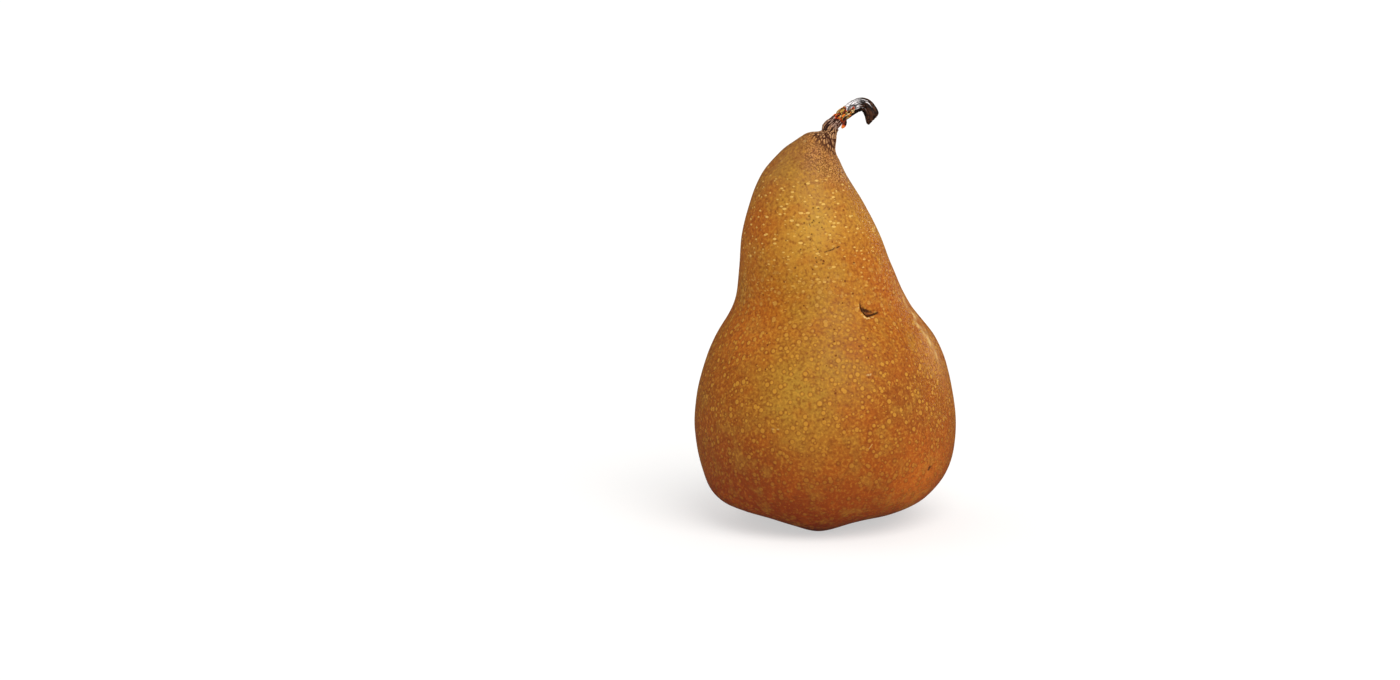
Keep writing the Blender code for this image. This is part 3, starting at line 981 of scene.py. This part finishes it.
def mottled(nodes, settings, tone, place, height, grain):
    """Mottling at two sizes, of which the finer one is weaker at the base."""
    cloud = nodes.noise(place, 150.0, 3.0, 0.6)
    tone = nodes.lay(tone, settings.orange, nodes.run(cloud, 0.50, 0.68, 0.0, 0.34))
    tone = nodes.lay(tone, settings.olive, nodes.run(cloud, 0.50, 0.32, 0.0, 0.30))
    plainer = nodes.run(height, 0.004, 0.040, 0.45, 1.0)
    tone = nodes.lay(tone, settings.dot, nodes.run(grain, 0.50, 0.70, 0.0, 0.36), plainer)
    return nodes.lay(tone, settings.pore, nodes.run(grain, 0.50, 0.30, 0.0, 0.55), plainer)


def dotted(nodes, settings, tone, place, height):
    """(tone, dots) with pale dots: flat and pale on the neck, round and ringed darker on the belly."""
    upper = nodes.run(height, 0.050, 0.082)
    flat = nodes.vector("MULTIPLY", place, (0.72, 0.72, 1.35))
    belly = nodes.specks(place, settings.dot_spacing, settings.dot_radius, 0.35, 0.75)
    neck = nodes.specks(flat, settings.neck_spacing, settings.neck_radius, 0.35, 0.70)
    small = nodes.specks(flat, SMALL_DOT_SPACING, SMALL_DOT_RADIUS, 0.5, 0.55)
    tone = nodes.lay(tone, settings.pore, nodes.mix(upper, belly["Halo"], 0.0), 0.45)
    dots = nodes.mix(upper, belly["Mask"], neck["Mask"])
    dots = nodes.maths("MAXIMUM", dots, nodes.times(small["Mask"], 0.6))
    dots = nodes.times(dots, nodes.run(height, 0.103, 0.096))
    heart = nodes.lay(settings.dot, settings.dot_pale, upper)
    strength = nodes.mix(upper, nodes.run(height, 0.008, 0.044, 0.16, 0.60), 0.70)
    return nodes.lay(tone, heart, dots, strength), dots


def pitted(nodes, settings, tone, place):
    """(tone, pores) with dark pores, mostly down the front."""
    front = nodes.patch(nodes.vector("MULTIPLY", place, (1, 1, 0.45)), (-0.001, -0.026, 0.030), 0.030, 0.012)
    pores = nodes.specks(place, PORE_SPACING, PORE_RADIUS, 0.5, 0.7)["Mask"]
    pores = nodes.times(pores, nodes.run(front, 0.0, 0.5, 0.12, 1.0))
    return nodes.lay(tone, settings.pit, pores, 0.85), pores


def dried(nodes, settings, tone, place, fine):
    """(tone, dryness) with the dry, creased skin round the stem and the eye. Its pale ridge tops are partly
    the skin's own colour and partly a painted highlight, and its dark creases partly painted shade.
    """
    crease, dry = nodes.attribute("crease"), nodes.attribute("dry")
    sand = nodes.noise(place, 2600.0, 2.0, 0.5)
    sandy = nodes.run(nodes.patch(place, (0.0025, -0.003, 0.102), 0.015, 0.006), 0.05, 0.55)
    tone = nodes.lay(tone, settings.collar_pale, sandy, nodes.run(sand, 0.50, 0.62, 0.0, 0.65))
    tone = nodes.lay(tone, settings.collar, sandy, nodes.run(sand, 0.54, 0.40, 0.0, 0.85))
    dryness = nodes.maths("MULTIPLY_ADD", nodes.maths("SUBTRACT", fine, 0.5), 0.7, dry)
    dryness = nodes.run(dryness, 0.25, 0.80)
    # Pale ridge tops: partly the dry skin's own colour and partly a painted highlight
    tops = nodes.run(crease, 0.34, 0.04)
    ridges = nodes.lay(settings.collar, settings.collar_pale, tops)
    foot = nodes.lay(settings.foot, settings.foot_pale, tops, nodes.run(fine, 0.34, 0.60, 0.25, 0.90))
    ridges = nodes.lay(ridges, foot, nodes.run(dry, 0.60, 0.98))
    tone = nodes.lay(tone, ridges, dryness, 0.90)
    # Darker in the creases: partly the creases' own colour and partly painted shade
    tone = nodes.lay(tone, settings.scar_and_shade, nodes.run(crease, 0.20, 0.70, 0.0, 0.85))
    eye = nodes.patch(place, (0, 0, 0.006), 0.016, 0.005)
    return nodes.lay(tone, settings.scar_and_shade, eye, 0.5), dryness


def skin_material(settings):
    """Russet skin: height tones, coloured patches, mottling, pale dots, dark pores, dry creases and marks,
    with painted highlights and shade among the patches, creases and marks.
    """
    material, nodes, shader = new_material("russet_skin_looks", Specular_IOR_Level=0.11)
    place = nodes.add("TexCoord").outputs["Object"]
    height = nodes.add("SeparateXYZ", {"Vector": place}).outputs["Z"]
    grain = nodes.noise(place, nodes.maths("DIVIDE", 1.0, settings.grain))
    fine = nodes.noise(place, 1500.0, 2.0, 0.6)
    tone = height_tones(nodes, settings, place, height)
    tone = mottled(nodes, settings, tone, place, height, grain)
    tone, dots = dotted(nodes, settings, tone, place, height)
    tone, pores = pitted(nodes, settings, tone, place)
    tone, dryness = dried(nodes, settings, tone, place, fine)
    mark = nodes.attribute("mark")
    # Dark marks include the nick's painted shadow, and pale marks the painted highlights of the nick's rim
    # and the ridge
    tone = nodes.lay(tone, settings.scar_and_shade, nodes.run(mark, 0.1, 0.9, 0.0, 0.92))
    tone = nodes.lay(tone, settings.scar_pale_and_highlight, nodes.run(mark, -0.1, -0.9, 0.0, 0.75))
    nodes.feed(shader.inputs["Base Color"], tone)

    rough = nodes.maths("MULTIPLY_ADD", dryness, 0.12, nodes.run(grain, 0.3, 0.7, 0.40, 0.56))
    nodes.feed(shader.inputs["Roughness"], nodes.maths("ADD", rough, nodes.run(mark, 0.1, 0.9, 0.0, 0.25)))
    relief = nodes.maths("MULTIPLY_ADD", dots, 0.45, nodes.times(grain, 0.8))
    relief = nodes.maths("MULTIPLY_ADD", pores, -0.9, relief)
    relief = nodes.maths("MULTIPLY_ADD", nodes.times(fine, dryness), 0.9, relief)
    nodes.bump(shader, relief, settings.bump, 0.9)
    return material


# The stem


def flaking(point, ring, along, angle):
    """(flake, hue, crack) of the thin bark that lifts in scales. It is redder where it starts, and there is a
    second patch of it under the arch."""
    outer = math.sin(angle)
    scales = ring * 3.3
    scales.z = along * 17 + 0.6 * noise.noise(point * 500)
    near, points = noise.voronoi(scales)
    hue = 0.5 + 0.5 * noise.cell(points[0] * 91.7)
    hue *= 1 - 0.62 * fade(along, 0.22, 0.29)
    ragged = 0.06 * noise.noise(point * 700)
    band = fade(abs(along + ragged - 0.30), 0.10, 0.125) * fade(outer, -0.75, -0.95)
    under = fade(abs(along + ragged - 0.45), 0.05, 0.08) * fade(abs(outer + 0.25 + 3 * ragged), 0.30, 0.45)
    flake = max(band, under * fade(math.cos(angle), -0.1, 0.4))
    return flake, hue, bell(near[1] - near[0], 0.16) * flake


def silver_and_highlight(ring, along, angle):
    """How silver the bark is: partly weathered bark and partly a painted highlight on the arch's upper outer
    side, in a patch on the arch, and in thin streaks past it.
    """
    outer = math.sin(angle)
    patches = noise.noise(ring * 1.7 + Vector((4, 2, along * 6.5)))
    streaks = noise.noise(ring * 5.2 + Vector((7, 1, along * 5.5)))
    patch = fade(along, 0.39, 0.34) * fade(along, 0.60, 0.68) * (1 - 0.45 * fade(outer, 0.98, 0.88))
    thin = fade(along, 0.58, 0.54) * fade(along, 0.76, 0.84) * fade(streaks, 0.34, 0.26)
    # Strongest on the upper outer side, where the painted highlight falls
    return max(patch, 0.8 * thin) * fade(0.6 * patches + outer - 0.5 * math.cos(angle), 0.22, 0.02)


def stem_relief(settings, point, along, angle):
    """(rise, crease, flake, hue, silver) of the bark at a share along the stem and an angle round it. Crease
    also carries painted shade under the arch, and silver a painted highlight. Its outer side has the angle of
    a quarter turn, and its front side that of a half turn."""
    ring = Vector((-math.sin(angle), math.cos(angle), 0))
    ridges = noise.noise(ring * 2.6 + Vector((0, 0, along * 4.2)))
    ridges += 0.6 * noise.noise(ring * 5.5 + Vector((0, 0, along * 7.5)))
    strips = ring * 2.1
    strips.z = along * 5 + 0.5 * noise.noise(point * 350)
    arch = fade(along, 0.34, 0.20)
    foot = long_net(math.atan2(ring.y, ring.x), -along * STEM_LENGTH, point)
    crease = (1 - arch) * foot + arch * net(strips, 0.13)
    flake, hue, crack = flaking(point, ring, along, angle)
    hollow = max(bell((point - Vector(spot)).length, reach) for spot, reach in BARK_HOLLOWS)
    carved = max(crease * (1 - flake), crack)
    rise = settings.ridge_rise * 0.6 * ridges - settings.crease_depth * carved
    rise += settings.flake_rise * (flake * (hue - 0.5) - 1.3 * hollow)
    # Painted shade: darker under the arch, carried in the crease tag with the creases, cracks and hollows
    shaded = fade(math.sin(angle), -0.55, -0.15) * fade(along, 0.36, 0.28) * fade(along, 0.66, 0.80)
    dark = max(carved, hollow, 0.75 * shaded * (1 - flake))
    return rise, dark, flake, hue, silver_and_highlight(ring, along, angle) * (1 - flake)


def hanging_flake():
    """A thin curled flake of bark that hangs under the stem, dark at its root and amber at its rounded
    tip."""
    rings = 14
    line = []
    for step in range(rings):
        part = step / (rings - 1)
        at = FLAKE_ROOT.lerp(FLAKE_TIP, part) + FLAKE_BEND * math.sin(math.pi * part)
        line.append((*at, FLAKE_RADIUS * math.sqrt(max(1 - part**5, 0.03)) * (0.6 + 0.4 * part)))
    bm = straight_tube(rings, 18)
    tags = {name: bm.verts.layers.float.new(name) for name in BARK_TAGS}
    for vertex in bm.verts:
        part = vertex.co.z / (rings - 1)
        hue = next(hue for end, hue in FLAKE_HUES if part <= end)
        for name, value in zip(BARK_TAGS, (0, 1, hue, 0, 0.3, 0)):
            vertex[tags[name]] = value
    placed(bm, lambda ring, angle: swept_point(line, ring, angle, Vector((1, 0.4, 0)), 0.22))
    return bm


def stem_bmesh(settings, mouth):
    """The woody stem: root, foot, arch and hook, with ridged bark and a broken end."""
    rows = [(mouth.x + x, mouth.y + y, mouth.z + z, radius) for x, y, z, radius in STEM_LINE]
    line = smooth_line(rows, settings.rings)
    for i, row in enumerate(line):
        over = max(i / (len(line) - 1) - STEM_END_ROUND, 0) / (1 - STEM_END_ROUND)
        row[3] *= math.sqrt(1 - 0.42 * over * over)
    root_radius = SOCKET_RADIUS - GAP
    root = [
        (mouth.x + SOCKET_SLANT, mouth.y, mouth.z - SOCKET_DEPTH + GAP, root_radius),
        (mouth.x, mouth.y, mouth.z - 0.0011, root_radius),
        (mouth.x, mouth.y, mouth.z - 0.0008, 0.0022),
    ]
    end = Vector(line[-1][:3])
    normal = STEM_END_NORMAL.normalized()
    turned = {"end_normal": STEM_END_NORMAL, "end_rings": STEM_END_TURN * settings.rings}
    side = Vector((0, 1, 0))
    last = len(root) + len(line) - 1

    def place(ring, angle):
        if ring < len(root):
            x, y, z, radius = root[ring]
            return Vector((x - radius * math.sin(angle), y + radius * math.cos(angle), z))
        if ring <= last:
            return swept_point(line, ring - len(root), angle, side, **turned)
        part, out = STEM_CAP[ring - last - 1]
        rim = swept_point(line, len(line) - 1, angle, side, **turned)
        return end + part * (rim - end) + out * normal

    bm = straight_tube(last + 1 + len(STEM_CAP), settings.sides)
    tags = {name: bm.verts.layers.float.new(name) for name in BARK_TAGS}
    spots = [(round(vertex.co.z), math.atan2(vertex.co.y, vertex.co.x)) for vertex in bm.verts]
    placed(bm, place)
    bm.normal_update()
    moves = []
    for vertex, (ring, angle) in zip(bm.verts, spots):
        along = min(max((ring - len(root)) / (len(line) - 1), 0), 1)
        rise, *values = stem_relief(settings, vertex.co, along, angle)
        capped = ring > last
        for name, value in zip(BARK_TAGS, (*values, along, float(capped))):
            vertex[tags[name]] = value
        if ring < len(root):
            rise = 0
        elif capped:
            rise = 0.00012 * noise.noise(vertex.co * 2200)
        moves.append(vertex.co + rise * vertex.normal)
    for vertex, point in zip(bm.verts, moves):
        vertex.co = point
    joined(bm, hanging_flake())
    return bm


def bark_material(settings):
    """Bark: brown and netted near the fruit, with pale ridge tops that are partly a painted highlight,
    flaking amber where it lifts, silver on the arch, partly a painted highlight, dark at the hook, with
    painted shade in the creases and under the arch."""
    material, nodes, shader = new_material("stem_bark_looks", Specular_IOR_Level=0.12)
    place = nodes.add("TexCoord").outputs["Object"]
    crease, flake, hue, silver, along, end = (nodes.attribute(name) for name in BARK_TAGS)
    fine = nodes.noise(place, 1800.0, 3.0, 0.6)
    coarse = nodes.noise(place, 420.0, 3.0, 0.6)
    # Pale ridge tops, partly the bark's own colour and partly a painted highlight
    tops = nodes.times(nodes.run(crease, 0.30, 0.03), nodes.run(fine, 0.38, 0.62, 0.10, 0.88))
    ridges_and_highlight = nodes.lay(settings.tan, settings.pale, nodes.run(along, 0.02, 0.14))
    ridges_and_highlight = nodes.lay(settings.brown, ridges_and_highlight, tops)
    upper = nodes.lay(settings.dark, settings.chestnut, nodes.run(coarse, 0.42, 0.62))
    tone = nodes.lay(ridges_and_highlight, upper, nodes.run(along, 0.16, 0.36))
    # Silver: partly weathered bark and partly a painted highlight on the arch
    tone = nodes.lay(tone, settings.silver, silver, nodes.run(fine, 0.36, 0.48, 0.45, 1.0))
    tones = nodes.add("ValToRGB", {"Fac": hue})
    stops = [(at, getattr(settings, name)) for at, name in FLAKE_TONES]
    set_ramp(tones.color_ramp, stops, "CONSTANT")
    patchy = nodes.lay(tones.outputs["Color"], settings.rust, nodes.run(fine, 0.45, 0.70, 0.0, 0.5))
    tone = nodes.lay(tone, patchy, nodes.run(flake, 0.2, 0.6))
    # Dark in the creases, cracks and hollows, partly the bark's own colour and partly painted shade, and
    # painted shade under the arch
    tone = nodes.lay(tone, settings.dark, nodes.run(crease, 0.2, 0.8, 0.0, 0.92))
    tone = nodes.lay(tone, nodes.lay(settings.dark, settings.wood, fine), end)
    nodes.feed(shader.inputs["Base Color"], tone)
    shine = nodes.run(along, 0.25, 0.45, 0.56, 0.46)
    nodes.feed(shader.inputs["Roughness"], nodes.maths("ADD", shine, nodes.run(fine, 0.3, 0.7, 0.0, 0.18)))
    nodes.bump(shader, fine, 0.00012, 0.7)
    return material


# The calyx


def joined(bm, other):
    """Adds one bmesh to another."""
    mesh = bpy.data.meshes.new("passing")
    other.to_mesh(mesh)
    other.free()
    bm.from_mesh(mesh)
    bpy.data.meshes.remove(mesh)


def cup_bmesh(floor, rim):
    """The cup: solid up in the eye, with a shallow ribbed hollow that opens downwards."""
    outer = EYE_RADIUS - 0.0001
    inner = outer - CUP_WALL
    ends = ((outer, floor), (outer, rim + 0.0002), (outer - 0.0002, rim), (inner + 0.0001, rim),
            (inner, rim + 0.0002), (inner - 0.4 * CUP_WALL, rim + 0.7 * CUP_HOLLOW),
            (inner - CUP_WALL, rim + CUP_HOLLOW), (0.3 * inner, rim + CUP_HOLLOW * 1.1))
    bm = straight_tube(len(ends), 96)

    def place(ring, angle):
        radius, height = ends[ring]
        ribs = 0.00008 * math.sin(10 * angle) * (2 <= ring <= 5)
        return Vector(((radius + ribs) * math.cos(angle), (radius + ribs) * math.sin(angle), height))

    placed(bm, place)
    return bm


def sepal_bmesh(settings, heading, reach, curl, rim):
    """One sepal: a thin wrinkled leaf rooted in the cup's wall, which lies out in the basin and curls at its
    tip."""
    rings, sides = 44, 28
    thick = settings.sepal_thickness
    out = Vector((math.cos(heading), math.sin(heading), 0))
    down = Vector((0, 0, -1))
    side = out.cross(down)
    at = (EYE_RADIUS - GAP - CUP_WALL) * out + Vector((0, 0, rim + thick))
    line = []
    for step in range(rings):
        part = step / (rings - 1)
        taper = part**SEPAL_TAPER
        line.append((*at, SEPAL_WIDTH / 2 * (1 - taper) + thick / 2 * taper))
        slope = math.radians(SEPAL_SLOPE + curl * part)
        at = at + reach / (rings - 1) * (math.cos(slope) * out + math.sin(slope) * down)
    bm = straight_tube(rings, sides)
    placed(bm, lambda ring, angle: swept_point(line, ring, angle, side, thick / 2 / line[ring][3]))
    bm.normal_update()
    moves = []
    for vertex in bm.verts:
        across = vertex.co.dot(side)
        rib = math.sin(across * 5200 + 1.5 * noise.noise(vertex.co * 900))
        rib += 1.2 * noise.noise(vertex.co * 1500)
        moves.append(vertex.co + settings.wrinkle * 0.5 * rib * vertex.normal)
    for vertex, point in zip(bm.verts, moves):
        vertex.co = point
    return bm


def stamen_bmesh(draw, floor):
    """One dry stamen: a thin bent bristle with a small knob, rooted in the hollow of the cup."""
    heading = draw.uniform(0, math.tau)
    away = draw.uniform(0.15, 0.80) * (EYE_RADIUS - GAP - 2 * CUP_WALL)
    lean, bend = draw.uniform(-0.15, 0.45), draw.uniform(-0.6, 0.6)
    reach = draw.uniform(0.0012, 0.0019)
    out = Vector((math.cos(heading), math.sin(heading), 0))
    rings = 9
    line = []
    for step in range(rings):
        part = step / (rings - 1)
        at = out * (away + reach * (lean * part + 0.3 * bend * part * part))
        at.z = floor + 0.0003 - reach * part
        radius = 0.00013 - 0.00005 * part + 0.00010 * bell(part - 0.9, 0.1)
        line.append((*at, radius))
    bm = straight_tube(rings, 9)
    placed(bm, lambda ring, angle: swept_point(line, ring, angle, Vector((0.3, 1, 0.1))))
    return bm


def calyx_bmesh(settings, mouth_height):
    """Cup, sepals and stamens in one mesh, each part tagged for its colours."""
    floor, rim = mouth_height + EYE_DEPTH - GAP, mouth_height - CUP_LIP
    draw = random.Random(5)
    parts = [(0.0, cup_bmesh(floor, rim))]
    for i, (reach, curl) in enumerate(zip(SEPAL_LENGTHS, SEPAL_CURLS)):
        heading = math.tau * i / len(SEPAL_LENGTHS) + SEPALS_TURN
        parts.append((1.0, sepal_bmesh(settings, heading, reach, curl, rim)))
    for _ in range(settings.stamens):
        parts.append((0.5, stamen_bmesh(draw, rim + CUP_HOLLOW)))
    bm = bmesh.new()
    for tag, part in parts:
        layer = part.verts.layers.float.new("part")
        for vertex in part.verts:
            vertex[layer] = tag
        joined(bm, part)
    return bm


def calyx_material(settings):
    """Dried calyx: brown leaves with ash-grey felt and dark tips, round a yellow-green heart."""
    material, nodes, shader = new_material("dry_calyx_looks", Specular_IOR_Level=0.25, Sheen_Weight=0.2)
    place = nodes.add("TexCoord").outputs["Object"]
    height = nodes.add("SeparateXYZ", {"Vector": place}).outputs["Z"]
    part = nodes.attribute("part")
    away = nodes.vector("LENGTH", nodes.vector("MULTIPLY", place, (1, 1, 0)))
    fibre = nodes.noise(nodes.vector("MULTIPLY", place, (1, 1, 2.5)), 1500.0, 3.0, 0.6)
    felt = nodes.noise(place, 600.0, 3.0, 0.6)
    tone = nodes.lay(settings.dry, settings.ash, nodes.run(felt, 0.40, 0.62, 0.0, 0.8))
    tone = nodes.lay(tone, settings.char, nodes.run(fibre, 0.50, 0.30, 0.0, 0.7))
    tone = nodes.lay(tone, settings.char, nodes.run(away, 0.0042, 0.0062, 0.0, 0.7))
    heart = nodes.lay(settings.heart, settings.ash, nodes.run(fibre, 0.4, 0.65))
    tone = nodes.lay(tone, heart, nodes.run(part, 0.45, 0.0, 0.0, 0.8))
    tone = nodes.lay(tone, settings.char, nodes.run(height, 0.0085, 0.0098, 0.0, 0.8))
    nodes.feed(shader.inputs["Base Color"], tone)
    nodes.feed(shader.inputs["Roughness"], nodes.run(felt, 0.3, 0.7, 0.65, 0.9))
    nodes.bump(shader, fibre, 0.0001, 0.8)
    return material


# The stage


def floor_material(settings):
    """Pale matt floor with a faint cloudiness, which can be looked through from below and isn't reflected."""
    material, nodes, shader = new_material("pale_floor", Specular_IOR_Level=0.1)
    place = nodes.add("TexCoord").outputs["Object"]
    cloud = nodes.noise(place, 3.0, 2.0)
    dim = tuple(c * 0.985 for c in settings.floor)
    nodes.feed(shader.inputs["Base Color"], nodes.lay(settings.floor, dim, cloud))
    nodes.feed(shader.inputs["Roughness"], nodes.run(cloud, 0.3, 0.7, 0.85, 0.95))
    clear = nodes.add("BsdfTransparent")
    back = nodes.add("NewGeometry").outputs["Backfacing"]
    glossy = nodes.add("LightPath").outputs["Is Glossy Ray"]
    through = nodes.maths("MAXIMUM", back, glossy)
    # The camera sees the pear's shadow only in part
    white = nodes.add("Emission", {"Color": (1, 1, 1), "Strength": 1.0})
    paler = nodes.times(nodes.add("LightPath").outputs["Is Camera Ray"], 1 - settings.shadow)
    seen = nodes.add("MixShader", {0: paler, 1: shader.outputs[0], 2: white.outputs[0]})
    both = nodes.add("MixShader", {0: through, 1: seen.outputs[0], 2: clear.outputs[0]})
    nodes.feed(material.node_tree.nodes["Material Output"].inputs["Surface"], both.outputs[0])
    return material


def make_floor(settings):
    bm = bmesh.new()
    bmesh.ops.create_grid(bm, x_segments=8, y_segments=8, size=FLOOR_REACH)
    bmesh.ops.translate(bm, vec=(0, 0, -FLOOR_CLEARANCE), verts=bm.verts)
    object_from("floor", bm, floor_material(settings))


def make_lights(settings):
    bpy.context.scene.view_settings.view_transform = "Standard"
    clear(bpy.data.worlds, "soft_studio")
    world = bpy.data.worlds.new("soft_studio")
    bpy.context.scene.world = world
    world.use_nodes = True
    nodes = Nodes(world.node_tree)
    fill = world.node_tree.nodes["Background"]
    fill.inputs["Color"].default_value = (1, 1, 1, 1)
    fill.inputs["Strength"].default_value = settings.fill
    white = nodes.add("Background", {"Color": (1, 1, 1), "Strength": 1.0})
    path = nodes.add("LightPath").outputs
    calm = nodes.add("Background", {"Color": (1, 1, 1), "Strength": settings.gloss})
    unseen = nodes.add("MixShader", {0: path["Is Glossy Ray"], 1: fill.outputs[0], 2: calm.outputs[0]})
    both = nodes.add("MixShader", {0: path["Is Camera Ray"], 1: unseen.outputs[0], 2: white.outputs[0]})
    nodes.feed(world.node_tree.nodes["World Output"].inputs["Surface"], both.outputs[0])
    _, rim, side, left = (make_sun(settings, name) for name in ("key", "rim", "side", "left"))
    for lamp in (rim, side, left):
        lamp.data.use_shadow = False
    side.visible_glossy = left.visible_glossy = False


def make_sun(settings, name):
    """A far light with the strength, heading, height and spread that the settings give to its name."""
    ends = ("_heading", "_height", "_spread")
    heading, height, spread = (getattr(settings, name + end) for end in ends)
    light = bpy.data.lights.new(name, "SUN")
    light.energy, light.angle, light.color = getattr(settings, name), spread, WARM_WHITE
    flat = math.cos(height)
    source = Vector((math.sin(heading) * flat, -math.cos(heading) * flat, math.sin(height)))
    lamp = new_object(name, light)
    lamp.rotation_mode = "QUATERNION"
    lamp.rotation_quaternion = source.to_track_quat("Z", "Y")
    lamp.location = source
    return lamp


def make_camera(settings):
    """The camera, turned so that the target falls off the frame's middle, as in the photograph."""
    flat = math.cos(settings.elevation)
    back = Vector((0, -flat, math.sin(settings.elevation)))
    right = Vector((1, 0, 0))
    up = right.cross(-back)
    focal = settings.lens / SENSOR * FRAME_WIDTH  # pixels
    pan, tilt = (math.atan(offset / focal) for offset in TARGET_OFFSET)
    forward = -back * math.cos(tilt) - up * math.sin(tilt)
    up = right.cross(forward)
    forward = forward * math.cos(pan) - right * math.sin(pan)
    right = forward.cross(up)
    data = bpy.data.cameras.new("camera")
    data.lens, data.sensor_width = settings.lens, SENSOR
    turned = Matrix((right, up, -forward)).transposed().to_4x4()
    camera = new_object("camera", data)
    camera.matrix_world = Matrix.Translation(CAMERA_TARGET + settings.distance * back) @ turned
    bpy.context.scene.camera = camera


# Operators


class PEAR_OT_fruit(bpy.types.Operator):
    """Makes the fruit with its russet skin"""

    bl_idname = "pear.make_fruit"
    bl_label = "Make Fruit"

    def execute(self, context):
        settings = context.scene.pear_fruit
        finished_piece("fruit_skin", fruit_bmesh(settings), skin_material(settings), "fruit")
        return {"FINISHED"}


class PEAR_OT_stem(bpy.types.Operator):
    """Makes the barked stem"""

    bl_idname = "pear.make_stem"
    bl_label = "Make Stem"

    def execute(self, context):
        settings = context.scene.pear_stem
        bm = stem_bmesh(settings, collar_middle(context.scene.pear_fruit))
        finished_piece("stem_rod", bm, bark_material(settings), "stem")
        return {"FINISHED"}


class PEAR_OT_calyx(bpy.types.Operator):
    """Makes the dried calyx in the eye"""

    bl_idname = "pear.make_calyx"
    bl_label = "Make Calyx"

    def execute(self, context):
        settings = context.scene.pear_calyx
        mouth_height = outline_rows(context.scene.pear_fruit, 2)[0][1]
        bm = calyx_bmesh(settings, mouth_height)
        finished_piece("calyx_leaves", bm, calyx_material(settings), "calyx")
        return {"FINISHED"}


class PEAR_OT_stage(bpy.types.Operator):
    """Sets the floor, the soft light and the camera"""

    bl_idname = "pear.set_stage"
    bl_label = "Set Stage"

    def execute(self, context):
        settings = context.scene.pear_stage
        make_floor(settings)
        make_lights(settings)
        make_camera(settings)
        return {"FINISHED"}


class PEAR_PT_panel(bpy.types.Panel):
    """Lists the pear's pieces"""

    bl_label = "Russet Pear"
    bl_idname = "PEAR_PT_panel"
    bl_space_type = "VIEW_3D"
    bl_region_type = "UI"
    bl_category = "Pear"

    def draw(self, context):
        for group, operator in (
            ("pear_fruit", PEAR_OT_fruit), ("pear_stem", PEAR_OT_stem),
            ("pear_calyx", PEAR_OT_calyx), ("pear_stage", PEAR_OT_stage),
        ):
            box = self.layout.box()
            box.operator(operator.bl_idname)
            settings = getattr(context.scene, group)
            for name in settings.bl_rna.properties.keys():
                if name not in ("name", "rna_type"):
                    box.prop(settings, name)


GROUPS = {
    "pear_fruit": PearFruitSettings,
    "pear_stem": PearStemSettings,
    "pear_calyx": PearCalyxSettings,
    "pear_stage": PearStageSettings,
}
CLASSES = (*GROUPS.values(), PEAR_OT_fruit, PEAR_OT_stem, PEAR_OT_calyx, PEAR_OT_stage, PEAR_PT_panel)


def register():
    for cls in CLASSES:
        bpy.utils.register_class(cls)
    for name, group in GROUPS.items():
        setattr(bpy.types.Scene, name, PointerProperty(type=group))


def unregister():
    for name in GROUPS:
        delattr(bpy.types.Scene, name)
    for cls in reversed(CLASSES):
        bpy.utils.unregister_class(cls)


def main():
    register()
    bpy.ops.pear.make_fruit()
    bpy.ops.pear.make_stem()
    bpy.ops.pear.make_calyx()
    bpy.ops.pear.set_stage()


if __name__ == "__main__":
    main()
